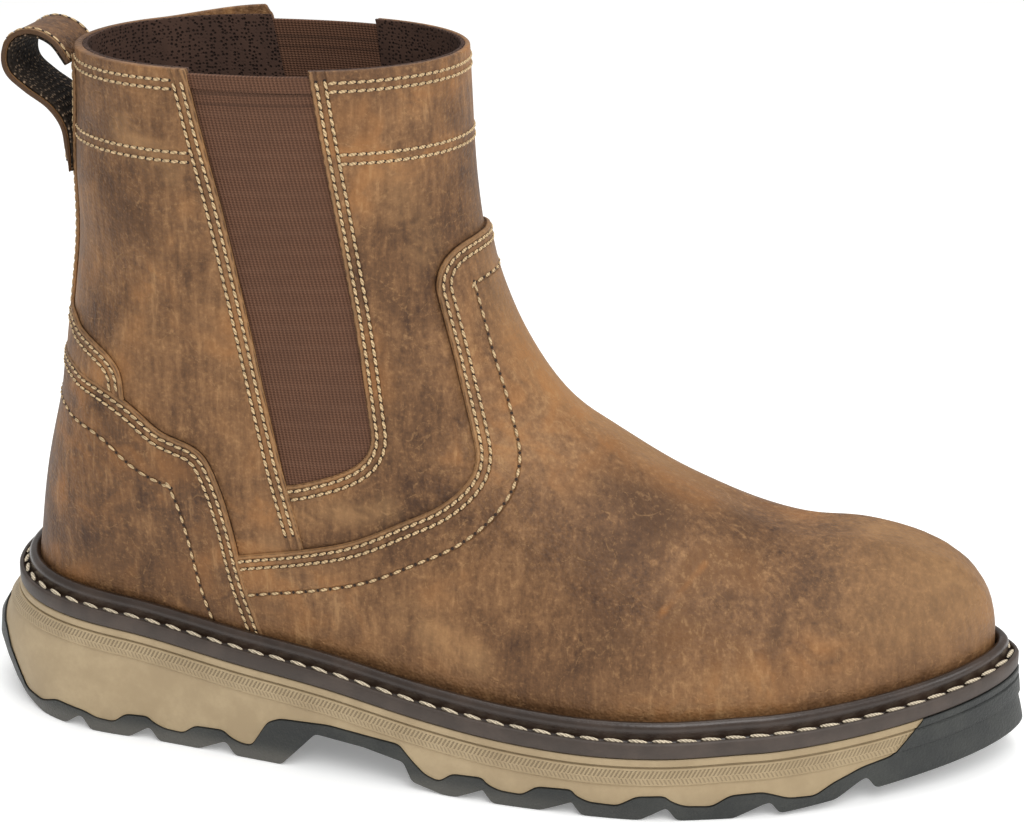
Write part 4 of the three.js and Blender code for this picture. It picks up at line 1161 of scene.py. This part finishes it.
def make_gores():
    web = elastic()
    top = 1 - GORE_DROP / (BOOT_HEIGHT - SEAT_BELOW_GORE)
    for side, name in zip(SIDES, ("lateral", "medial")):
        back = moved(side_line(QUARTER_EDGE[:-1], side), 3.0 * side)
        rest = moved(side_line(GORE_WINDOW, side), 2.0 * side)
        back = back[form.at(back)[:, 2] > 81]
        outline = np.vstack([back, rest])
        outline[:, 1] = np.minimum(outline[:, 1], top)
        gore = panel(
            "gore_web_" + name, outline, -GORE_RECESS - GORE_THICKNESS, -GORE_RECESS, web, spacing=2.2,
            edge_round=0.3,
        )
        finish_piece(gore, "elastic", "gore_" + name)
        ends = outline[outline[:, 1] >= top - 1e-6][:, 0]
        first, last, foot_line = ends.min(), ends.max(), top - HEM_DEPTH
        band = np.array([(first, top), (last, top), (last, foot_line), (first, foot_line)])
        hem = panel("gore_hem_" + name, band, -GORE_RECESS, -0.45, web, spacing=1.8, edge_round=0.3)
        finish_piece(hem, "elastic")


def plan_ring(inset, steps):
    """Points around the sole's plan drawn in by inset, from the heel along the outer edge first."""
    along = (1 - np.cos(np.linspace(0, math.pi, steps + 1))) / 2
    x = mix(inset, SOLE_LENGTH - inset, along)
    half = {side: plan_edge(x, side, inset) for side in SIDES}
    for side in SIDES:
        half[side][[0, -1]] = 0
    outer = np.stack([x, centre_line(x) - half[LATERAL]], -1)
    inner = np.stack([x, centre_line(x) + half[MEDIAL]], -1)
    return np.vstack([outer, inner[::-1][1:-1]])


def ring_faces(rings, around, closed=False):
    """Faces between rings of points, and from the last ring back to the first when closed."""
    faces = []
    for i in range(rings if closed else rings - 1):
        j = (i + 1) % rings
        faces += [
            (i * around + n, i * around + (n + 1) % around, j * around + (n + 1) % around, j * around + n)
            for n in range(around)
        ]
    return faces


def end_faces(rings, around):
    """Faces that close the first and the last ring, strip by strip across."""
    faces = []
    for start in (0, (rings - 1) * around):
        for n in range(around // 2):
            strip = dict.fromkeys([n, n + 1, (around - n - 1) % around, (around - n) % around])
            faces.append(tuple(start + k for k in strip))
    return faces


# Section of the welt: in from the plan's edge, up from the leather's seat. The band is its side
WELT_BAND = [
    (7.0, -7.0), (0.7, -7.0), (0.25, -6.85), (0.0, -6.4), (0.0, -4.4), (0.05, -2.9), (0.35, -2.35),
    (0.9, -2.15),
]
WELT_CHANNEL = [(1.2, -2.25), (1.4, -2.8), (1.6, -3.3), (3.0, -3.3), (3.2, -2.4)]
BEAD_MIDDLE, BEAD_REACH = (4.85, 0.1), (1.7, 2.25)
WELT_SHELF = [(6.7, -1.2), (9.5, -0.5), (16.0, -0.5), (16.0, -7.0)]
WELT_STEPS = 230
WELT_PITCH, WELT_SLANT = 6.8, 0.17
CHANNEL_MIDDLE = (2.25, -2.45)


def make_welt():
    turn = np.radians(np.linspace(205, -25, 12))
    bead = BEAD_MIDDLE + np.stack([np.cos(turn), np.sin(turn)], -1) * BEAD_REACH
    section = [*WELT_BAND, *WELT_CHANNEL, *bead, *WELT_SHELF]
    rings = []
    for inset, up in section:
        ring = plan_ring(inset, WELT_STEPS)
        rings.append(np.column_stack([ring, seat_height(ring[:, 0]) + up]))
    count, around = len(rings), len(rings[0])
    faces = ring_faces(count, around, closed=True)
    side_finish = welt_finish("welt_side", (0.036, 0.024, 0.017), (0.058, 0.04, 0.03), 0.5)
    welt = add_mesh("welt_strip", np.vstack(rings), faces, side_finish)
    welt.data.materials.append(welt_finish("welt_bead", (0.022, 0.012, 0.007), (0.04, 0.024, 0.016), 0.24))
    band = len(WELT_BAND) - 1
    index = [0 if n // around < band or n // around == count - 1 else 1 for n in range(len(faces))]
    welt.data.polygons.foreach_set("material_index", index)
    face_out(welt)
    finish_piece(welt, "welt", "welt")
    ring = plan_ring(CHANNEL_MIDDLE[0], 600)
    path = np.column_stack([ring, seat_height(ring[:, 0]) + CHANNEL_MIDDLE[1]])
    path = every(np.vstack([path, path[:1]]), WELT_PITCH)[:-1]
    along = unit(np.roll(path, -1, axis=0) - np.roll(path, 1, axis=0))
    up = np.tile([0.0, 0.0, 1.0], (len(path), 1))
    side = np.cross(along, up)
    welt_thread.add(path, along * math.cos(WELT_SLANT) + side * math.sin(WELT_SLANT), up)


# The sole's side from the welt down: drop in mm, in from the plan, share of the flare of heel and toe
SIDE_STEPS = [
    (0, 0.5, 0), (0.3, 0.25, 0.01), (2, 0.3, 0.05), (2.2, 0.6, 0.055), (2.45, 0.75, 0.06),
    (2.7, 0.5, 0.065), (2.95, 0.25, 0.07), (5.4, 0.1, 0.13), (7.7, 0.1, 0.2), (7.95, 0.45, 0.205),
    (8.3, 0.75, 0.21),
]
SIDE_LOWER = [(0.8, 0.35, 0.38), (0.6, 0.2, 0.57), (0.4, 0.2, 0.69), (0.2, 0.3, 0.79), (0.0, 0.7, 0.9)]
FLARE_POWER = 1.3
TOE_FLARE_START = 0.12
SOLE_RING_STEPS = 170

# Lugs of the tread as shares of SOLE_LENGTH: start, end, and where the groove behind has its full depth
HEEL_LUGS = [
    (0.045, 0.075, 0.092), (0.105, 0.148, 0.168), (0.18, 0.223, 0.25), (0.262, 0.311, 0.348),
]
FOREFOOT_LUGS = [
    (0.446, 0.489, 0.515), (0.525, 0.571, 0.6), (0.61, 0.664, 0.686), (0.698, 0.748, 0.774),
    (0.79, 0.839, 0.861), (0.875, 1.02, 1.04),
]
LUGS = [tuple(SOLE_LENGTH * share for share in lug) for lug in HEEL_LUGS + FOREFOOT_LUGS]
HEEL_END, WAIST_END = LUGS[len(HEEL_LUGS) - 1], LUGS[len(HEEL_LUGS)]
SPRING_START, SPRING_SLOPE = 0.767, 0.138
LUG_WALL = 2.6
WAIST_BEVEL = 2.6


def spring(x):
    return SPRING_SLOPE * max(0.0, x - SPRING_START * SOLE_LENGTH)


def welt_floor(x):
    return seat_height(x) - WELT_THICKNESS - SEAT


def sole_block(name, outset, material):
    def flared(x, share):
        heel = np.clip(1 - x / (SOLE_LENGTH * HEEL_ROUND[0]), 0, 1) ** 2
        toe = np.clip(1 - (SOLE_LENGTH - x) / (SOLE_LENGTH * TOE_FLARE_START), 0, 1) ** 2
        return x - HEEL_FLARE * heel * math.sin(math.pi * share) ** FLARE_POWER + TOE_FLARE * toe * share

    lowest = SIDE_STEPS[-1][0]
    rings, uv = [], []
    for place, inset, share in [*SIDE_STEPS, *SIDE_LOWER]:
        ring = plan_ring(inset - outset, SOLE_RING_STEPS)
        floor = welt_floor(ring[:, 0])
        if len(rings) < len(SIDE_STEPS):
            z = floor - place
        else:
            z = (floor - lowest) * place
        rings.append(np.column_stack([flared(ring[:, 0], share), ring[:, 1], z]))
        closed = np.column_stack([ring, z])
        uv.append(np.column_stack([run_of(closed), floor - z]))
    size = len(rings), len(rings[0])
    faces = ring_faces(*size) + end_faces(*size)
    return face_out(add_mesh(name, np.vstack(rings), faces, material, np.vstack(uv)))


def rounded(line, radius):
    """A line of side-view places with each corner softened."""
    line = np.array(line, float)
    out = [line[0]]
    for before, corner, after in zip(line, line[1:], line[2:]):
        legs = [before - corner, after - corner]
        lengths = [np.linalg.norm(leg) for leg in legs]
        a, b = (corner + leg / length * min(radius, 0.42 * length) for leg, length in zip(legs, lengths))
        for t in np.linspace(0, 1, 5):
            out.append((1 - t) ** 2 * a + 2 * t * (1 - t) * corner + t**2 * b)
    return np.array([*out, line[-1]])


def prism(outline, low=-120.0, high=120.0):
    """A block with a side-view outline, right through from one side to the other."""
    count = len(outline)
    points = [(x, y, z) for y in (low, high) for x, z in outline]
    faces = [tuple(range(count)), tuple(range(2 * count - 1, count - 1, -1))]
    faces += [(n, n + count, (n + 1) % count + count, (n + 1) % count) for n in range(count)]
    return face_out(add_mesh("cutter", points, faces, None, smooth_faces=False))


def cut(piece, *cutters):
    for cutter in cutters:
        modifier = piece.modifiers.new("cut", "BOOLEAN")
        modifier.operation, modifier.solver, modifier.object = "DIFFERENCE", "MANIFOLD", cutter
    graph = bpy.context.evaluated_depsgraph_get()
    mesh = bpy.data.meshes.new_from_object(piece.evaluated_get(graph))
    piece.modifiers.clear()
    piece.data = mesh
    for cutter in cutters:
        bpy.data.objects.remove(cutter)
    mesh.polygons.foreach_set("use_smooth", [True] * len(mesh.polygons))
    mesh.set_sharp_from_angle(angle=math.radians(38))
    return piece


def tread_line():
    line = [(-40, 40), (-9, 22), (-7.5, 12), (-3, 6.5), (5, 2.4)]
    for n, (start, end, gap) in enumerate(LUGS):
        first = LUGS[n] is WAIST_END
        line.append((start, spring(start) + (WAIST_BEVEL if first else 0)))
        if first:
            line.append((mix(start, end, 0.7), 0))
        line.append((end, spring(end)))
        following = LUGS[n + 1][0] if n + 1 < len(LUGS) else None
        if LUGS[n] is HEEL_END:
            line += [(gap, SHANK_CLEARANCE + 0.8), (mix(gap, following, 0.5), SHANK_CLEARANCE - 0.5)]
            line.append((following - LUG_WALL, SHANK_CLEARANCE - 3))
            continue
        line.append((gap, spring(gap) + LUG_DEPTH))
        if following:
            line.append((following - LUG_WALL, spring(following) + LUG_DEPTH))
    return rounded([*line, (SOLE_LENGTH + 40, 40)], 1.3)


def colour_line():
    """Where the dark tread meets the pale midsole, which dips over each lug."""
    line = [(-40, 60), (-1, HEEL_WRAP_HEIGHT), (4, 12), (7, 5.5), (14, 4.5), (20, 7)]
    for n, (start, end, gap) in enumerate(LUGS):
        if n == 0 or end > SOLE_LENGTH - BUMPER_LENGTH:
            continue
        ground, dip = spring(start), (end - start) * 0.62
        if LUGS[n] is WAIST_END:
            line += [(start, ground + SOLE_SKIN_RAISED + 1.5), (start + 4, ground + SOLE_SKIN + 1)]
        else:
            line += [(start - 1.5, ground + SOLE_SKIN_RAISED - 1.8), (start + 2, ground + SOLE_SKIN)]
        if LUGS[n] is HEEL_END:
            line += [(start + dip * 0.6, SOLE_SKIN), (end - 4, 13), (end, 14.8)]
            line += [(gap + 4, 15.6), (WAIST_END[0] - 4, 13.5)]
            continue
        line += [(start + dip, ground + SOLE_SKIN - 0.3), (end - 1, ground + SOLE_SKIN_RAISED - 0.4)]
        line.append((gap, spring(gap) + SOLE_SKIN_RAISED))
    bumper = SOLE_LENGTH - BUMPER_LENGTH
    line += [(bumper - 8, 13.5), (bumper, float(welt_floor(bumper))), (bumper + 4, 60)]
    return rounded(line, 1.6)


def block(low, high):
    corners = [(low[0], low[2]), (high[0], low[2]), (high[0], high[2]), (low[0], high[2])]
    return prism(corners, low[1], high[1])


def make_sole():
    line, tread = colour_line(), tread_line()
    reach = SOLE_LENGTH + 40
    midsole = sole_block("midsole_body", 0, midsole_rubber())
    low = np.vstack([line + [0, SEAT / 2], [(reach, 60), (reach, -40), (-40, -40)]])
    cut(midsole, prism(low))
    finish_piece(midsole, "midsole", "midsole")
    outsole = sole_block("outsole_tread", OUTSOLE_PROUD, outsole_rubber())
    above = np.vstack([line - [0, SEAT / 2], [(line[-1][0], FAR), (-40, FAR)]])
    under = np.vstack([tread, [(reach, -40), (-40, -40)]])
    half, top = CHANNEL_WIDTH / 2, LUG_DEPTH * 0.8
    channels = [
        block((HEEL_LUGS[0][2] * SOLE_LENGTH, -half, -40), (HEEL_END[2], half, top)),
        block((WAIST_END[0] - LUG_WALL, FOREFOOT_CHANNEL - half, -40),
              (SPRING_START * SOLE_LENGTH, FOREFOOT_CHANNEL + half, top)),
    ]
    cut(outsole, prism(above), prism(under), *channels)
    finish_piece(outsole, "outsole", "outsole")


# Section of the footbed: in from the plan's edge, up from the leather's seat
FOOTBED = [(13.2, 0.3), (12.6, 3.4), (13.4, 4.3), (15.5, 4.0), (19, 3.4), (26, 2.9), (33, 2.8)]
FOOTBED_STEPS = 90


def make_insole():
    """A soft footbed, dished a little and turned up at its rim."""
    rings = []
    for inset, up in FOOTBED:
        ring = plan_ring(inset, FOOTBED_STEPS)
        rings.append(np.column_stack([ring, seat_height(ring[:, 0]) + up]))
    size = len(rings), len(rings[0])
    faces = ring_faces(*size) + end_faces(*size)
    insole = face_out(add_mesh("footbed", np.vstack(rings), faces, insole_felt()))
    finish_piece(insole, "insole", "insole")


# Side view of the loop, from its upper foot: shares of LOOP_REACH out and LOOP_HEIGHT up
LOOP_LINE = [
    (0.06, 0.79), (0.28, 0.94), (0.58, 1.0), (0.85, 0.95), (0.95, 0.83), (0.9, 0.71), (0.66, 0.6),
    (0.33, 0.48), (0.13, 0.33), (0.07, 0.14), (0.055, 0),
]
TAPE_SHARE = 0.42  # of the loop's thickness that is woven tape
TAPE_INSET = 1.0
LOOP_ROW = 1.6  # how far inside the loop's edges its stitches run
PARED_LENGTH, PARED_SHARE = 9, 0.35  # the lower foot is thinned over this length, down to this share


def back_at(z):
    return float(edge_from(0.2 * SOLE_LENGTH, min(z, BOOT_HEIGHT), -1.0, 0.0)[0])


# One face of a strap's section: shares of its half width and of its thickness
STRAP_FACE = [
    (-1, 0.3), (-0.985, 0.08), (-0.95, 0), (-0.6, 0), (0, 0), (0.6, 0), (0.95, 0), (0.985, 0.08), (1, 0.3),
]


def strap(name, line, low, high, half, material):
    """A flat strap that follows a side-view line, from one distance beside it to another."""
    t = unit(np.gradient(line, axis=0))
    out = np.stack([-t[:, 1], t[:, 0]], -1)
    thick = high - low
    section = [(across, low + share * thick) for across, share in STRAP_FACE]
    section += [(across, high - share * thick) for across, share in STRAP_FACE[::-1]]
    run = run_of(line)
    pared = mix(PARED_SHARE, 1, smooth((run[-1] - run) / PARED_LENGTH))
    points, uv = [], []
    for across, lift in section:
        curve = line + out * (lift * pared)[:, None]
        points.append(np.stack([curve[:, 0], np.full(len(line), across * half), curve[:, 1]], -1))
        uv.append(np.column_stack([run, np.full(len(line), across * half)]))
    count, length = len(section), len(line)
    faces = [
        (i * length + n, i * length + n + 1, (i + 1) % count * length + n + 1, (i + 1) % count * length + n)
        for i in range(count) for n in range(length - 1)
    ]
    faces += [tuple(i * length + end for i in range(count)) for end in (0, length - 1)]
    edge = np.concatenate([np.full(length, (1 - abs(across)) * half) for across, _ in section])
    return face_out(add_mesh(name, np.vstack(points), faces, material, np.vstack(uv), {"edge": edge}))


def make_pull_loop():
    foot_z = BOOT_HEIGHT - LOOP_HEIGHT + 2
    line = []
    for out, up in LOOP_LINE:
        z = foot_z + up * LOOP_HEIGHT
        line.append((back_at(z) - SEAT - out * LOOP_REACH, z))
    line = spline(line, 0.8)
    half = LOOP_THICKNESS / 2
    middle = half - LOOP_THICKNESS * TAPE_SHARE
    skin = leather("loop_pull_up", (LOOP_ROW,), -0.01)
    outer = strap("pull_loop_leather", line, -half, middle, LOOP_WIDTH / 2, skin)
    tape = strap("pull_loop_tape", line, middle, half, LOOP_WIDTH / 2 - TAPE_INSET, woven_tape())
    finish_piece(outer, "strap", "pull_loop")
    finish_piece(tape, "strap")
    t = unit(np.gradient(line, axis=0))
    out = np.stack([t[:, 1], -t[:, 0]], -1)
    run = run_of(line)
    goal = np.arange(2.0, run[-1] - 2, ROW_PITCH)
    p, n, d = (np.stack([np.interp(goal, run, c) for c in table.T], -1) for table in (line, out, t))

    def beside(flat, across=0.0):
        return np.stack([flat[:, 0], np.full(len(flat), across), flat[:, 1]], -1)

    for side in SIDES:
        for gathered, shift in ((upper_thread, 0.0), (upper_holes, ROW_PITCH / 2)):
            q = p + n * (half + 0.08) + d * shift
            gathered.add(beside(q, side * (LOOP_WIDTH / 2 - LOOP_ROW)), beside(d), beside(n))


def make_backstay():
    """The strip that covers the seam up the back, under the loop's feet."""
    low, high = HEEL_TAB_EDGE[0][1] - 2, BOOT_HEIGHT - 3
    heights = np.arange(low, high, 1.5)
    lines = []
    for side in SIDES:
        points = np.array([(back_at(z), side * BACKSTAY_WIDTH / 2, z) for z in heights])
        line = form.find(points)
        line[:, 0] -= np.round(line[:, 0])
        lines.append(line)
    outline = np.vstack([lines[0], lines[1][::-1]])
    stay = panel(
        "backstay_leather", outline, QUARTER_FACE, VAMP_FACE, leather("backstay_pull_up", DOUBLE_ROW[:1]),
        stitched=lines,
    )
    finish_piece(stay, "leather")
    for line, side in zip(lines, SIDES):
        stitch_row(moved(line, -DOUBLE_ROW[0] * side), VAMP_FACE)


make_vamp()
make_counter()
make_heel_tab()
make_quarter()
make_front()
make_gores()
make_welt()
make_sole()
make_insole()
make_pull_loop()
make_backstay()
upper_thread.lay("upper_stitches", THREAD_SIZE, thread("upper_thread", CREAM), "leather")
upper_holes.lay("needle_holes", HOLE_SIZE, needle_hole_shade(), "leather")
welt_thread.lay("welt_stitches", WELT_STITCH, thread("welt_thread", PALE_THREAD), "welt")

# The photograph's view
AZIMUTH, ELEVATION, ROLL = (math.radians(a) for a in (11.38, 19.68, -0.21))
CAMERA_DISTANCE = 700
CAMERA_TARGET = (150, 0, 100)
FOCAL_PIXELS = 2379.3
MIDDLE_PIXEL = (497.66, 399.31)
IMAGE = (1024, 823)
SENSOR = 36


def make_camera():
    level = math.cos(ELEVATION)
    back = Vector((math.sin(AZIMUTH) * level, -math.cos(AZIMUTH) * level, math.sin(ELEVATION)))
    right = Vector((math.cos(AZIMUTH), math.sin(AZIMUTH), 0))
    up = back.cross(right)
    turned = right * math.cos(ROLL) + up * math.sin(ROLL)
    up = up * math.cos(ROLL) - right * math.sin(ROLL)
    data = bpy.data.cameras.new("camera")
    data.sensor_width = SENSOR
    data.lens = FOCAL_PIXELS * SENSOR / IMAGE[0]
    data.shift_x = (IMAGE[0] / 2 - MIDDLE_PIXEL[0]) / IMAGE[0]
    data.shift_y = (MIDDLE_PIXEL[1] - IMAGE[1] / 2) / IMAGE[0]
    camera = bpy.data.objects.new("camera", data)
    place = Vector((np.array(CAMERA_TARGET) + ORIGIN) * MM) + back * CAMERA_DISTANCE * MM
    turn = Matrix((turned, up, back)).transposed().to_4x4()
    camera.matrix_world = Matrix.Translation(place) @ turn
    bpy.context.scene.collection.objects.link(camera)
    bpy.context.scene.camera = camera


def make_light(name, place, energy, size):
    data = bpy.data.lights.new(name, "AREA")
    data.energy = energy
    data.size = size
    light = bpy.data.objects.new(name, data)
    light.location = place
    light.rotation_euler = (-Vector(place)).to_track_quat("-Z", "Y").to_euler()
    bpy.context.scene.collection.objects.link(light)


def make_studio():
    paper = Finish("pale_floor", Emission_Color=(1, 1, 1, 1), Emission_Strength=0.22)
    corners = [(x, y, -0.2) for x, y in ((-4e3, -4e3), (4e3, -4e3), (4e3, 4e3), (-4e3, 4e3))]
    floor = add_mesh(
        "floor", corners, [(0, 1, 2, 3)], paper.wear((0.93, 0.93, 0.92, 1.0), 0.9), smooth_faces=False
    )
    world = bpy.data.worlds.new("studio")
    world.use_nodes = True
    sky = world.node_tree.nodes["Background"]
    sky.inputs["Color"].default_value = (1.0, 1.0, 1.0, 1.0)
    sky.inputs["Strength"].default_value = 0.62
    bpy.context.scene.world = world
    bpy.context.scene.view_settings.view_transform = "Standard"
    make_light("key", (0.35, -0.8, 1.1), 9, 0.8)
    make_light("top", (-0.1, 0.3, 1.3), 7, 1.0)
    make_light("toe", (1.2, -0.3, 0.6), 3.5, 0.6)


make_camera()
make_studio()
